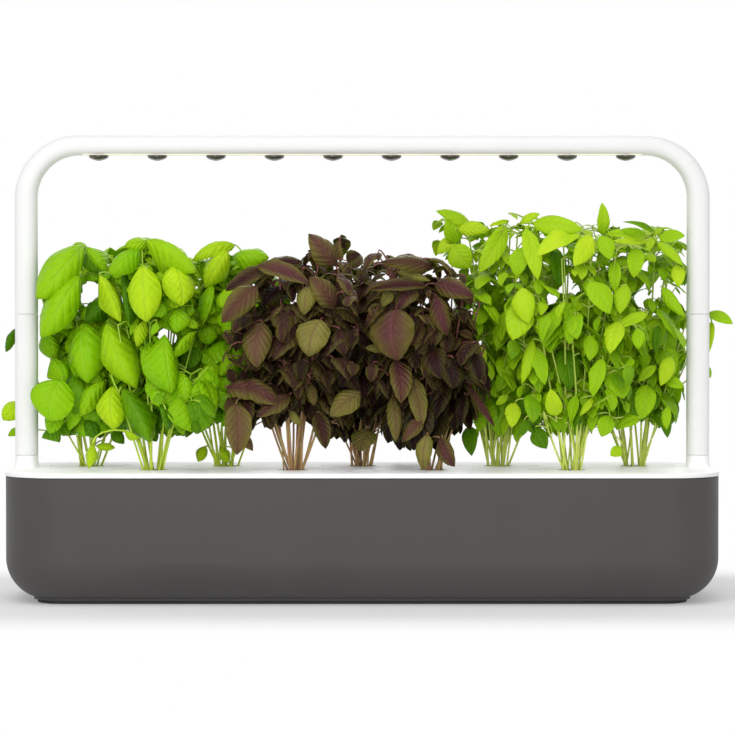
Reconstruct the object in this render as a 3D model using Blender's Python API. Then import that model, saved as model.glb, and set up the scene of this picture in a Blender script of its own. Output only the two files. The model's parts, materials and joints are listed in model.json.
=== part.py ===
"""Countertop hydroponic garden, in metres with +Z up.

A water tank carries a lid. The lid carries nine planted pods, a float and two extension arms, and the
arms carry the lamp arch. The origin is the middle of the foot's underside, X runs along the length and
-Y is the front.
"""

import math
from collections import namedtuple

import bmesh
import bpy
from mathutils import Vector

MM = 0.001

# Clearances
GAP = 0.3 * MM  # between pieces that rest on each other
RUN = 0.5 * MM  # around pieces that lift out of a hole
OVERRUN = 2 * MM  # how far a cutter passes the face that it cuts

# Foot
FOOT_HEIGHT = 2.7 * MM
FOOT_INSET = 27 * MM
FOOT_CORNER = 24 * MM

# Water tank
TANK_LENGTH = 619 * MM
TANK_DEPTH = 184 * MM
TANK_HEIGHT = 106.7 * MM
TANK_WALL = 3 * MM
TANK_CORNER = 50 * MM
TANK_FILLET = 36 * MM
TANK_BOTTOM = FOOT_HEIGHT + GAP

# Lid
LID_BOTTOM = TANK_BOTTOM + TANK_HEIGHT + GAP
LID_THICKNESS = 4 * MM
LID_OVERHANG = 0.5 * MM
LID_EDGE = 1.2 * MM
LID_TOP = LID_BOTTOM + LID_THICKNESS
SKIRT_DEPTH = 10 * MM
SKIRT_WALL = 2 * MM
WELD = 1 * MM  # how far moulded-on parts run into the lid's plate
RECESS_DEPTH = 1.5 * MM
FLANGE_THICKNESS = RECESS_DEPTH - GAP

# Pods
POD_COUNT = 9
POD_END = 66.3 * MM  # from the tank's end to the last pod's middle
POD_PITCH = (TANK_LENGTH - 2 * POD_END) / (POD_COUNT - 1)
POD_ROW_OFFSET = 30 * MM
POD_LAND = 13.421 * MM  # of lid between two neighbouring seats
POD_RADIUS = (math.hypot(POD_PITCH, 2 * POD_ROW_OFFSET) - POD_LAND) / 2
CUP_RADIUS = 17.5 * MM
CUP_BASE_RADIUS = 14 * MM
CUP_WALL = 1.5 * MM
CUP_DEPTH = 50 * MM
CUP_MOUTH_RADIUS = 13 * MM
PLUG_DROP = 3 * MM
PLUG_BELOW = 2 * MM
WICK_WIDTH = 8 * MM
WICK_THICKNESS = 2 * MM
WICK_TANK_CLEARANCE = 6 * MM

# Fill port with its float
PORT_INSET = 40 * MM  # from the tank's front to the port's middle
PORT_Y = PORT_INSET - TANK_DEPTH / 2
GUIDE_RADIUS = 15 * MM
GUIDE_WALL = 1.6 * MM
GUIDE_FLANGE = 3.5 * MM
GUIDE_DEPTH = 66 * MM
GUIDE_LIP = 3.4 * MM
GUIDE_WINDOW_WIDTH = 8 * MM
GUIDE_WINDOW_HEIGHT = 14 * MM
FLOAT_HEIGHT = 31 * MM
FLOAT_EDGE = 3 * MM

# Posts: the stubs on the lid, the extension arms and the lamp's legs share one section
POST_INSET = 13 * MM  # from the tank's end to the post's middle
POST_HALF_WIDTH = 10 * MM
POST_HALF_DEPTH = 11 * MM
POST_WALL = 2.5 * MM
SECTION_POWER = 2.5
POST_X = TANK_LENGTH / 2 - POST_INSET
STUB_HEIGHT = 11.3 * MM
FLARE_WIDTH = 2.8 * MM
FLARE_HEIGHT = 7 * MM
SOCKET_WALL = 1.4 * MM
SOCKET_FLOOR = 2 * MM
SOCKET_SPARE = 1 * MM
SPIGOT_LENGTH = 20 * MM
SPIGOT_WALL = 2.2 * MM
SHOULDER = 2.5 * MM
ARM_LENGTH = 124 * MM
ARM_BOTTOM = LID_TOP + STUB_HEIGHT
ARM_TOP = ARM_BOTTOM + GAP + ARM_LENGTH

# Contacts that carry the lamp's current down the right side
PIN_RADIUS = 1.8 * MM
PIN_LENGTH = 10 * MM
PIN_CLEARANCE = 0.4 * MM
PLUG_SPARE = 0.4 * MM
JACK_LENGTH = 22 * MM
JACK_HOLE = 14 * MM
LEAD_RADIUS = 2 * MM
SOCKET_JACK_RADIUS = 5.5 * MM
SOCKET_JACK_LENGTH = 14 * MM
SOCKET_JACK_HOLE = 11 * MM

# Lamp arch
LAMP_RISE = 149 * MM  # from the arm's top to the bar's middle line
BEND_RADIUS = 42 * MM
BAR_HALF_HEIGHT = 9 * MM
SLOT_WIDTH = 13 * MM
SLOT_BEND_SPACE = 8.075 * MM  # from the slot's end to the bend
SLOT_HALF_LENGTH = POST_X - BEND_RADIUS - SLOT_BEND_SPACE
SLOT_END = 14 * MM  # from the last lens's middle to the slot's end
LENS_COUNT = 10
LENS_PITCH = 2 * (SLOT_HALF_LENGTH - SLOT_END) / (LENS_COUNT - 1)
LENS_RADIUS = 8 * MM
LENS_DROP = 4.8 * MM
LENS_RIM = 1.2 * MM
COVER_THICKNESS = 2 * MM
COVER_SET_BACK = 0.2 * MM
LED_BOARD_WIDTH = 11 * MM
LED_BOARD_THICKNESS = 1.6 * MM

# Power inlet, timer board and its tray under the lid, in lid plan
INLET_INSET = 78.5 * MM  # from the tank's end to the inlet's middle
INLET_X = TANK_LENGTH / 2 - INLET_INSET
INLET_DROP = 8 * MM
INLET_RADIUS = 5.5 * MM
INLET_HOLE_RADIUS = 3 * MM
INLET_HOLE_DEPTH = 10 * MM
INLET_LENGTH = 20 * MM
INLET_SET_BACK = 0.8 * MM
TRAY_LENGTH = 62 * MM
TRAY_HEIGHT = 17.7 * MM
TRAY_WALL = 1.5 * MM
TRAY_CORNER = 4 * MM
TRAY_SKIRT_SPACE = 3 * MM
TRAY_CUP_SPACE = 6 * MM
TRAY_BACK = TANK_DEPTH / 2 - TANK_WALL - RUN - SKIRT_WALL - TRAY_SKIRT_SPACE
TRAY_DEPTH = TRAY_BACK - POD_ROW_OFFSET - CUP_RADIUS - TRAY_CUP_SPACE
TRAY_EAR = 8 * MM
TRAY_EAR_THICKNESS = 2 * MM
TIMER_BOARD_THICKNESS = 1.6 * MM
SCREW_RADIUS = 1.4 * MM
SCREW_HEAD_RADIUS = 3 * MM
SCREW_HEAD_HEIGHT = 1.8 * MM
SCREW_BITE = 2.4 * MM

# Plants
STEM_RADIUS = 2.2 * MM
STEM_TIP_RADIUS = 1 * MM
CROWN_RADIUS = 7 * MM
CROWN_HEIGHT = 9 * MM
STEM_RING = 4.5 * MM  # where the stems leave the crown
LEAF_THICKNESS = 1.6 * MM
CELL_MARGIN = 0.8 * MM  # from a leaf to the border with the next plant
FOLIAGE_SIDE = 6 * MM  # beyond the tank's front and back
FOLIAGE_END = 20.5 * MM  # beyond the tank's ends
POD_LIFT = 52 * MM
LEAF_CLEARANCE = 3 * MM

# Steps of the round shapes
CORNER_STEPS = 6
FILLET_STEPS = 5
LENS_RINGS = 3
EDGE_STEPS = 2
FLARE_STEPS = 4
BEND_STEPS = 6
SECTION_STEPS = 16
RECESS_STEPS = 24
CUP_STEPS = 14
SMALL_STEPS = 12
LENS_STEPS = 12
STEM_SIDES = 3
STEM_STEPS = 3
SMOOTH_ANGLE = math.radians(35)

# Finishes: linear colour, roughness, metallic
Finish = namedtuple("Finish", "colour roughness metallic")
TANK_GREY = Finish((0.085, 0.082, 0.080), 0.45, 0.0)
FOOT_GREY = Finish((0.030, 0.029, 0.028), 0.70, 0.0)
LID_WHITE = Finish((0.86, 0.86, 0.85), 0.40, 0.0)
TUBE_WHITE = Finish((0.88, 0.88, 0.87), 0.38, 0.0)
CUP_WHITE = Finish((0.80, 0.80, 0.79), 0.50, 0.0)
LENS_DARK = Finish((0.060, 0.055, 0.050), 0.18, 0.0)
COVER_CREAM = Finish((0.85, 0.78, 0.60), 0.35, 0.0)
BOARD_GREEN = Finish((0.03, 0.16, 0.07), 0.50, 0.0)
CONTACT_BRASS = Finish((0.70, 0.50, 0.22), 0.30, 1.0)
INLET_BLACK = Finish((0.02, 0.02, 0.02), 0.45, 0.0)
SCREW_STEEL = Finish((0.55, 0.55, 0.55), 0.35, 1.0)
SOIL_BROWN = Finish((0.045, 0.028, 0.016), 0.95, 0.0)
FLOAT_WHITE = Finish((0.80, 0.82, 0.82), 0.40, 0.0)

# Sweet basil
SWEET_HEIGHT = 194 * MM
SWEET_SPREAD = 40 * MM
SWEET_LEAF_LENGTH = 58 * MM
SWEET_LEAF_WIDTH = 42 * MM

# Purple basil
PURPLE_HEIGHT = 202 * MM
PURPLE_SPREAD = 42 * MM
PURPLE_LEAF_LENGTH = 56 * MM
PURPLE_LEAF_WIDTH = 36 * MM

# Lemon basil
LEMON_HEIGHT = 222 * MM
LEMON_SPREAD = 42 * MM
LEMON_LEAF_LENGTH = 54 * MM
LEMON_LEAF_WIDTH = 29 * MM

# Each herb's size, then how its leaves rise and fall, in radians, and their colour
Herb = namedtuple("Herb", "height spread leaf_length leaf_width rise fall colour")
SWEET_SIZES = (SWEET_HEIGHT, SWEET_SPREAD, SWEET_LEAF_LENGTH, SWEET_LEAF_WIDTH)
SWEET_BASIL = Herb(*SWEET_SIZES, rise=0.70, fall=1.45, colour=(0.13, 0.36, 0.02))
PURPLE_SIZES = (PURPLE_HEIGHT, PURPLE_SPREAD, PURPLE_LEAF_LENGTH, PURPLE_LEAF_WIDTH)
PURPLE_BASIL = Herb(*PURPLE_SIZES, rise=0.60, fall=1.50, colour=(0.075, 0.035, 0.040))
LEMON_SIZES = (LEMON_HEIGHT, LEMON_SPREAD, LEMON_LEAF_LENGTH, LEMON_LEAF_WIDTH)
LEMON_BASIL = Herb(*LEMON_SIZES, rise=0.70, fall=1.10, colour=(0.22, 0.44, 0.04))
HERBS = (SWEET_BASIL,) * 3 + (PURPLE_BASIL,) * 3 + (LEMON_BASIL,) * 3

# Each stem: its heading as a share of a turn, then its spread and height as shares of the plant's
STEM_SHARES = ((0.00, 0.95, 0.93), (0.36, 0.80, 1.00), (0.70, 0.95, 0.86))
# Each plant's turn about its pod, as a share of a full one
PLANT_TURN_SHARES = (0.40, 0.62, 0.10, 0.83, 0.30, 0.58, 0.18, 0.95, 0.07)
# Each pair of leaves: its height on the stem and its length, as shares of the stem and of a full leaf
LEAF_PAIR_SHARES = ((0.34, 0.90), (0.56, 1.00), (0.77, 1.00), (0.96, 0.80))
TOP_LEAF_SHARE = 0.60
TOP_LEAF_RISE = 1.3
# Edge of a leaf blade: distance along it, then half its breadth, as shares of its length and width
BLADE_SHARES = ((0.28, 0.46), (0.66, 0.42))
BLADE_MIDDLE_SHARE = 0.46
BLADE_CUP_SHARE = 0.16
LEAF_FIT_TRIES = 9
LEAF_FIT_SHARE = 0.86
LEAF_FIT_TURN = 0.35


def clear_scene():
    """Remove what the scene starts with."""
    for thing in list(bpy.data.objects):
        bpy.data.objects.remove(thing, do_unlink=True)


def body(name, place, parent=None):
    """An empty on a moving body's axis; place is in world coordinates."""
    empty = bpy.data.objects.new(name, None)
    bpy.context.collection.objects.link(empty)
    empty["place"] = place
    start = Vector(parent["place"]) if parent else Vector((0, 0, 0))
    empty.location = Vector(place) - start
    empty.parent = parent
    return empty


def piece(name, bm, finish, parent=None):
    """An object from a bmesh, with its own material."""
    bmesh.ops.recalc_face_normals(bm, faces=bm.faces)
    mesh = bpy.data.meshes.new(name)
    bm.to_mesh(mesh)
    bm.free()
    mesh.shade_smooth()
    mesh.set_sharp_from_angle(angle=SMOOTH_ANGLE)
    return placed(name, mesh, finish, parent)


def placed(name, mesh, finish, parent=None):
    """An object that shows a mesh, which several objects may share."""
    thing = bpy.data.objects.new(name, mesh)
    bpy.context.collection.objects.link(thing)
    thing.parent = parent
    if not mesh.materials:
        mesh.materials.append(None)
    thing.material_slots[0].link = "OBJECT"
    thing.material_slots[0].material = painted(name, finish)
    return thing


def painted(name, finish):
    """A Principled material."""
    material = bpy.data.materials.new(name)
    material.use_nodes = True
    shader = material.node_tree.nodes["Principled BSDF"]
    shader.inputs["Base Color"].default_value = (*finish.colour, 1)
    shader.inputs["Roughness"].default_value = finish.roughness
    shader.inputs["Metallic"].default_value = finish.metallic
    material.diffuse_color = (*finish.colour, 1)
    return material


def tool(name, bm, parent=None):
    """A hidden solid that a Boolean cuts with or joins on."""
    bmesh.ops.recalc_face_normals(bm, faces=bm.faces)
    mesh = bpy.data.meshes.new(name)
    bm.to_mesh(mesh)
    bm.free()
    thing = bpy.data.objects.new(name, mesh)
    bpy.context.collection.objects.link(thing)
    thing.parent = parent
    thing.hide_render = True
    thing.display_type = "WIRE"
    return thing


def combine(thing, operand, operation, self_crossing=False):
    """Add an exact Boolean."""
    modifier = thing.modifiers.new(operand.name, "BOOLEAN")
    modifier.object = operand
    modifier.operation = operation
    modifier.solver = "EXACT"
    modifier.use_self = self_crossing


def loft(bm, rings, hollow=False):
    """Skin rings of points; a hollow one closes on itself, a solid one has flat ends."""
    loops = [[bm.verts.new(point) for point in ring] for ring in rings]
    count = len(loops[0])
    pairs = list(zip(loops, loops[1:]))
    if hollow:
        pairs.append((loops[-1], loops[0]))
    for low, high in pairs:
        for i in range(count):
            j = (i + 1) % count
            bm.faces.new((low[i], low[j], high[j], high[i]))
    if not hollow:
        bm.faces.new(loops[0][::-1])
        bm.faces.new(loops[-1])


def circle(radius, z, steps, middle=(0, 0)):
    """Points of a level circle."""
    turns = [2 * math.pi * i / steps for i in range(steps)]
    return [Vector((middle[0] + radius * math.cos(a), middle[1] + radius * math.sin(a), z)) for a in turns]


def turned(bm, profile, steps, middle=(0, 0), hollow=False):
    """Turn a profile of (radius, height) about the upright line through middle."""
    loft(bm, [circle(radius, z, steps, middle) for radius, z in profile], hollow)


def slab(length, depth, corner, z):
    """Points of a level rectangle with round corners."""
    points = []
    for quarter, (side_x, side_y) in enumerate(((1, 1), (-1, 1), (-1, -1), (1, -1))):
        x = side_x * (length / 2 - corner)
        y = side_y * (depth / 2 - corner)
        for step in range(CORNER_STEPS + 1):
            a = (quarter + step / CORNER_STEPS) * math.pi / 2
            points.append(Vector((x + corner * math.cos(a), y + corner * math.sin(a), z)))
    return points


def box(bm, low, high):
    """An upright box."""
    corners = ((low[0], low[1]), (high[0], low[1]), (high[0], high[1]), (low[0], high[1]))
    loft(bm, [[Vector((x, y, z)) for x, y in corners] for z in (low[2], high[2])])


def section_shares():
    """Unit points of the posts' rounded section."""
    shares = []
    for i in range(SECTION_STEPS):
        a = 2 * math.pi * i / SECTION_STEPS
        across = math.copysign(abs(math.cos(a)) ** (2 / SECTION_POWER), math.cos(a))
        along = math.copysign(abs(math.sin(a)) ** (2 / SECTION_POWER), math.sin(a))
        shares.append((across, along))
    return shares


def post_ring(inset, z, middle_x=0):
    """The post's section at a height, drawn in by inset."""
    half_width, half_depth = POST_HALF_WIDTH - inset, POST_HALF_DEPTH - inset
    return [Vector((middle_x + u * half_width, v * half_depth, z)) for u, v in section_shares()]


def pod_places():
    """Middles of the pods in plan: two rows, set off by half a step."""
    middle = (POD_COUNT - 1) / 2
    return [((i - middle) * POD_PITCH, POD_ROW_OFFSET * (1 - 2 * (i % 2))) for i in range(POD_COUNT)]


def make_foot():
    """The dark band that the tank stands on."""
    length, depth = TANK_LENGTH - 2 * FOOT_INSET, TANK_DEPTH - 2 * FOOT_INSET
    bm = bmesh.new()
    loft(bm, [slab(length, depth, FOOT_CORNER, z) for z in (0, FOOT_HEIGHT)])
    piece("foot_plate", bm, FOOT_GREY)


def tank_ring(inset, z):
    """The tank's outline at a height, drawn in by inset."""
    return slab(TANK_LENGTH - 2 * inset, TANK_DEPTH - 2 * inset, TANK_CORNER - inset, z)


def fillet_rings(wall):
    """Rings of the rounded bottom edge, from the floor up; wall is 0 outside."""
    radius = TANK_FILLET - wall
    rings = []
    for step in range(FILLET_STEPS + 1):
        a = step / FILLET_STEPS * math.pi / 2
        inset = wall + radius * (1 - math.sin(a))
        rings.append(tank_ring(inset, TANK_BOTTOM + wall + radius * (1 - math.cos(a))))
    return rings


def make_tank():
    """The open water tank, notched at the back for the power inlet."""
    top = TANK_BOTTOM + TANK_HEIGHT
    bm = bmesh.new()
    inside = [tank_ring(TANK_WALL, top)] + fillet_rings(TANK_WALL)[::-1]
    loft(bm, fillet_rings(0) + [tank_ring(0, top)] + inside)
    tank = piece("water_tank", bm, TANK_GREY)
    notch = bmesh.new()
    half = INLET_RADIUS + RUN
    low = (INLET_X - half, TANK_DEPTH / 2 - TANK_WALL - OVERRUN, LID_BOTTOM - INLET_DROP - half)
    box(notch, low, (INLET_X + half, TANK_DEPTH / 2 + OVERRUN, top + OVERRUN))
    combine(tank, tool("inlet_notch", notch), "DIFFERENCE")


def lid_plate():
    """The lid's flat plate with its rounded top edge."""
    length, depth = TANK_LENGTH + 2 * LID_OVERHANG, TANK_DEPTH + 2 * LID_OVERHANG
    corner = TANK_CORNER + LID_OVERHANG
    rings = [slab(length, depth, corner, 0)]
    for step in range(EDGE_STEPS + 1):
        a = step / EDGE_STEPS * math.pi / 2
        inset = LID_EDGE * (1 - math.cos(a))
        z = LID_THICKNESS - LID_EDGE + LID_EDGE * math.sin(a)
        rings.append(slab(length - 2 * inset, depth - 2 * inset, corner - inset, z))
    bm = bmesh.new()
    loft(bm, rings)
    return bm


def lid_additions():
    """The skirt under the lid and the two post stubs with their sockets."""
    bm = bmesh.new()
    outer = TANK_WALL + RUN
    inner = outer + SKIRT_WALL
    levels = ((outer, -SKIRT_DEPTH), (outer, WELD), (inner, WELD), (inner, -SKIRT_DEPTH))
    loft(bm, [tank_ring(inset, z) for inset, z in levels], hollow=True)
    boss = POST_WALL - SOCKET_WALL
    for side in (-1, 1):
        x = side * POST_X
        rings = [post_ring(boss, z, x) for z in (socket_floor() - SOCKET_FLOOR, WELD)]
        rings.append(post_ring(-FLARE_WIDTH, WELD, x))
        for step in range(FLARE_STEPS + 1):
            a = step / FLARE_STEPS * math.pi / 2
            z = LID_THICKNESS + FLARE_HEIGHT * (1 - math.cos(a))
            rings.append(post_ring(-FLARE_WIDTH * (1 - math.sin(a)), z, x))
        rings.append(post_ring(0, LID_THICKNESS + STUB_HEIGHT, x))
        loft(bm, rings)
    return bm


def socket_floor():
    """Height of the socket's floor above the lid's underside."""
    return LID_THICKNESS + STUB_HEIGHT - SPIGOT_LENGTH - SOCKET_SPARE


def lid_cuts():
    """Everything cut out of the lid: pod seats, port, sockets, pin hole, inlet and screw holes."""
    bm = bmesh.new()
    seat = LID_THICKNESS - RECESS_DEPTH
    above = LID_THICKNESS + OVERRUN
    holes = [(place, CUP_RADIUS + RUN, POD_RADIUS) for place in pod_places()]
    holes.append(((0, PORT_Y), GUIDE_RADIUS + RUN, GUIDE_RADIUS + GUIDE_FLANGE + RUN))
    for place, hole, recess in holes:
        turned(bm, ((hole, -OVERRUN), (hole, seat), (recess, seat), (recess, above)), RECESS_STEPS, place)
    top = LID_THICKNESS + STUB_HEIGHT + OVERRUN
    loft(bm, [post_ring(POST_WALL, z, -POST_X) for z in (socket_floor(), top)])
    pin = PIN_RADIUS + PIN_CLEARANCE
    rings = [circle(pin, socket_floor() - SOCKET_FLOOR - OVERRUN, SECTION_STEPS, (POST_X, 0))]
    rings.append(circle(pin, socket_floor(), SECTION_STEPS, (POST_X, 0)))
    loft(bm, rings + [post_ring(POST_WALL, z, POST_X) for z in (socket_floor(), top)])
    half = INLET_RADIUS + RUN
    low = (INLET_X - half, TANK_DEPTH / 2 - TANK_WALL - SKIRT_WALL - OVERRUN, -SKIRT_DEPTH - OVERRUN - half)
    box(bm, low, (INLET_X + half, TANK_DEPTH / 2 - TANK_WALL + OVERRUN, -GAP))
    for x in screw_places():
        turned(bm, ((SCREW_RADIUS + GAP, -OVERRUN), (SCREW_RADIUS + GAP, SCREW_BITE + GAP)), SMALL_STEPS, x)
    return bm


def make_lid(lid):
    """The lid that closes the tank and holds everything above it."""
    tray = piece("lid_tray", lid_plate(), LID_WHITE, lid)
    combine(tray, tool("lid_skirt_and_stubs", lid_additions(), lid), "UNION", self_crossing=True)
    combine(tray, tool("lid_openings", lid_cuts(), lid), "DIFFERENCE")


def tray_middle_y():
    """Middle of the board tray, between the pods' cups and the lid's skirt."""
    return TRAY_BACK - TRAY_DEPTH / 2


def screw_places():
    """The two screws, in the ears at the tray's ends."""
    reach = TRAY_LENGTH / 2 + TRAY_EAR / 2
    return [(INLET_X + side * reach, tray_middle_y()) for side in (-1, 1)]


def moved(rings, x, y):
    """Rings shifted in plan."""
    return [[point + Vector((x, y, 0)) for point in ring] for ring in rings]


def make_tray(lid):
    """The tray under the lid that keeps the timer board dry, with an ear at each end."""
    y = tray_middle_y()
    floor = -GAP - TRAY_HEIGHT
    inside = (TRAY_LENGTH - 2 * TRAY_WALL, TRAY_DEPTH - 2 * TRAY_WALL, TRAY_CORNER - TRAY_WALL)
    rings = [slab(TRAY_LENGTH, TRAY_DEPTH, TRAY_CORNER, z) for z in (floor, -GAP)]
    rings += [slab(*inside, z) for z in (-GAP, floor + TRAY_WALL)]
    bm = bmesh.new()
    loft(bm, moved(rings, INLET_X, y))
    tray = piece("board_tray", bm, CUP_WHITE, lid)
    ears = bmesh.new()
    for side in (-1, 1):
        edges = sorted((side * (TRAY_LENGTH / 2 - TRAY_WALL / 2), side * (TRAY_LENGTH / 2 + TRAY_EAR)))
        low = (INLET_X + edges[0], y - TRAY_EAR / 2, -GAP - TRAY_EAR_THICKNESS)
        box(ears, low, (INLET_X + edges[1], y + TRAY_EAR / 2, -GAP - GAP / 2))
    combine(tray, tool("tray_ears", ears, lid), "UNION")
    holes = bmesh.new()
    for place in screw_places():
        low = -GAP - TRAY_EAR_THICKNESS - OVERRUN
        turned(holes, ((SCREW_RADIUS + GAP, low), (SCREW_RADIUS + GAP, 0)), SMALL_STEPS, place)
    half = INLET_RADIUS + RUN
    back = y + TRAY_DEPTH / 2
    low = (INLET_X - half, back - TRAY_WALL - OVERRUN, -INLET_DROP - half)
    box(holes, low, (INLET_X + half, back + OVERRUN, -INLET_DROP + half))
    combine(tray, tool("tray_holes", holes, lid), "DIFFERENCE")


def make_timer(lid):
    """The timer board on the tray's floor, the power inlet and the tray's screws."""
    y = tray_middle_y()
    low = -GAP - TRAY_HEIGHT + TRAY_WALL + GAP
    margin = 2 * (TRAY_WALL + RUN)
    rings = [
        slab(TRAY_LENGTH - margin, TRAY_DEPTH - margin, TRAY_CORNER - margin / 2, z)
        for z in (low, low + TIMER_BOARD_THICKNESS)
    ]
    bm = bmesh.new()
    loft(bm, moved(rings, INLET_X, y))
    piece("timer_board", bm, BOARD_GREEN, lid)
    make_inlet(lid)
    head = -GAP - TRAY_EAR_THICKNESS - GAP
    profile = ((SCREW_HEAD_RADIUS, head - SCREW_HEAD_HEIGHT), (SCREW_HEAD_RADIUS, head))
    profile += ((SCREW_RADIUS, head), (SCREW_RADIUS, SCREW_BITE))
    for number, place in enumerate(screw_places(), 1):
        bm = bmesh.new()
        turned(bm, profile, SMALL_STEPS, place)
        piece(f"tray_screw_{number}", bm, SCREW_STEEL, lid)


def make_inlet(lid):
    """The power inlet: a round socket that faces backwards."""
    back = TANK_DEPTH / 2 - INLET_SET_BACK
    front = back - INLET_LENGTH
    inner = back - INLET_HOLE_DEPTH
    profile = ((INLET_RADIUS, front), (INLET_RADIUS, back))
    profile += ((INLET_HOLE_RADIUS, back), (INLET_HOLE_RADIUS, inner))
    rings = [
        [Vector((INLET_X + p.x, y, p.y - INLET_DROP)) for p in circle(radius, 0, SMALL_STEPS)]
        for radius, y in profile
    ]
    bm = bmesh.new()
    loft(bm, rings)
    piece("power_inlet", bm, INLET_BLACK, lid)


def make_float(lid):
    """The float and the guide tube that it rises in."""
    inner = GUIDE_RADIUS - GUIDE_WALL
    low = LID_THICKNESS - GUIDE_DEPTH
    outer_flange = GUIDE_RADIUS + GUIDE_FLANGE
    under_flange = LID_THICKNESS - FLANGE_THICKNESS
    profile = ((GUIDE_RADIUS, low), (GUIDE_RADIUS, under_flange), (outer_flange, under_flange))
    profile += ((outer_flange, LID_THICKNESS), (inner, LID_THICKNESS), (inner, low + GUIDE_WALL))
    profile += ((inner - GUIDE_LIP, low + GUIDE_WALL), (inner - GUIDE_LIP, low))
    bm = bmesh.new()
    turned(bm, profile, CUP_STEPS, (0, PORT_Y), hollow=True)
    guide = piece("float_guide", bm, CUP_WHITE, lid)
    windows = bmesh.new()
    half, reach = GUIDE_WINDOW_WIDTH / 2, GUIDE_RADIUS + OVERRUN
    bottom = low + 2 * GUIDE_WALL
    box(windows, (-half, PORT_Y - reach, bottom), (half, PORT_Y + reach, bottom + GUIDE_WINDOW_HEIGHT))
    combine(guide, tool("guide_windows", windows, lid), "DIFFERENCE")
    radius = inner - RUN
    bottom = LID_BOTTOM + low + GUIDE_WALL + GAP
    axis = body("float", (0, PORT_Y, bottom), lid)
    edge = FLOAT_EDGE
    profile = ((radius - edge, 0), (radius, edge))
    profile += ((radius, FLOAT_HEIGHT - edge), (radius - edge, FLOAT_HEIGHT))
    bm = bmesh.new()
    turned(bm, profile, CUP_STEPS)
    piece("float_indicator", bm, FLOAT_WHITE, axis)


def arm_rings():
    """An extension arm: a spigot below the shoulder, an open tube above it."""
    spigot = POST_WALL + GAP
    bore = spigot + SPIGOT_WALL
    top = GAP + ARM_LENGTH
    rings = [post_ring(spigot, -SPIGOT_LENGTH), post_ring(spigot, GAP)]
    rings += [post_ring(0, GAP), post_ring(0, top), post_ring(POST_WALL, top)]
    rings += [post_ring(POST_WALL, 2 * SHOULDER), post_ring(bore, SHOULDER)]
    return rings + [post_ring(bore, -SPIGOT_LENGTH)]


def make_arms(lid):
    """The two extension arms; the right one holds the connector."""
    arms = {}
    for name, side in (("left", -1), ("right", 1)):
        axis = body(f"extension_{name}", (side * POST_X, 0, ARM_BOTTOM), lid)
        bm = bmesh.new()
        loft(bm, arm_rings(), hollow=True)
        piece(f"extension_arm_{name}", bm, TUBE_WHITE, axis)
        arms[name] = axis
    make_connector(arms["right"])
    make_socket_jack(lid)
    return arms["left"]


def plug_radius():
    """Radius of a contact plug inside a spigot's bore."""
    return POST_HALF_WIDTH - POST_WALL - GAP - SPIGOT_WALL - PLUG_SPARE


def make_connector(arm):
    """The contact core in the right arm: a pin below, a jack above."""
    jack = POST_HALF_WIDTH - POST_WALL - PLUG_SPARE
    top = GAP + ARM_LENGTH - SPIGOT_LENGTH - SOCKET_SPARE
    hole = PIN_RADIUS + PIN_CLEARANCE
    plug = plug_radius()
    profile = ((PIN_RADIUS, -SPIGOT_LENGTH - PIN_LENGTH), (PIN_RADIUS, -SPIGOT_LENGTH + GAP))
    profile += ((plug, -SPIGOT_LENGTH + GAP), (plug, 0), (LEAD_RADIUS, 0), (LEAD_RADIUS, top - JACK_LENGTH))
    profile += ((jack, top - JACK_LENGTH), (jack, top), (hole, top), (hole, top - JACK_HOLE))
    bm = bmesh.new()
    turned(bm, profile, SMALL_STEPS)
    piece("arm_connector", bm, CONTACT_BRASS, arm)


def make_socket_jack(lid):
    """The jack under the right socket, which the arm's pin enters."""
    top = socket_floor() - SOCKET_FLOOR - GAP
    hole = PIN_RADIUS + PIN_CLEARANCE
    profile = ((SOCKET_JACK_RADIUS, top - SOCKET_JACK_LENGTH), (SOCKET_JACK_RADIUS, top))
    profile += ((hole, top), (hole, top - SOCKET_JACK_HOLE))
    bm = bmesh.new()
    turned(bm, profile, SMALL_STEPS, (POST_X, 0))
    piece("socket_jack", bm, CONTACT_BRASS, lid)


def arch_ring(x, z, turn, half_width, half_depth):
    """A section of the lamp's tube; turn is 0 on the left leg and pi on the right one."""
    across = Vector((-math.cos(turn), 0, math.sin(turn))) * half_width
    along = Vector((0, half_depth, 0))
    return [Vector((x, 0, z)) + across * u + along * v for u, v in section_shares()]


def arch_bends(wall):
    """Rings round both bends of the arch; wall is 0 outside."""
    rings = []
    for side, start in ((-1, 0), (1, math.pi / 2)):
        for step in range(BEND_STEPS + 1):
            turn = start + step / BEND_STEPS * math.pi / 2
            x = side * (POST_X - BEND_RADIUS) - BEND_RADIUS * math.cos(turn)
            z = LAMP_RISE - BEND_RADIUS * (1 - math.sin(turn))
            half = POST_HALF_WIDTH + (BAR_HALF_HEIGHT - POST_HALF_WIDTH) * math.sin(turn)
            rings.append(arch_ring(x, z, turn, half - wall, POST_HALF_DEPTH - wall))
    return rings


def leg_rings(side, levels):
    """Rings of one leg at (inset, height) levels."""
    turn = 0 if side < 0 else math.pi
    rings = []
    for inset, z in levels:
        rings.append(arch_ring(side * POST_X, z, turn, POST_HALF_WIDTH - inset, POST_HALF_DEPTH - inset))
    return rings


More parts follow.
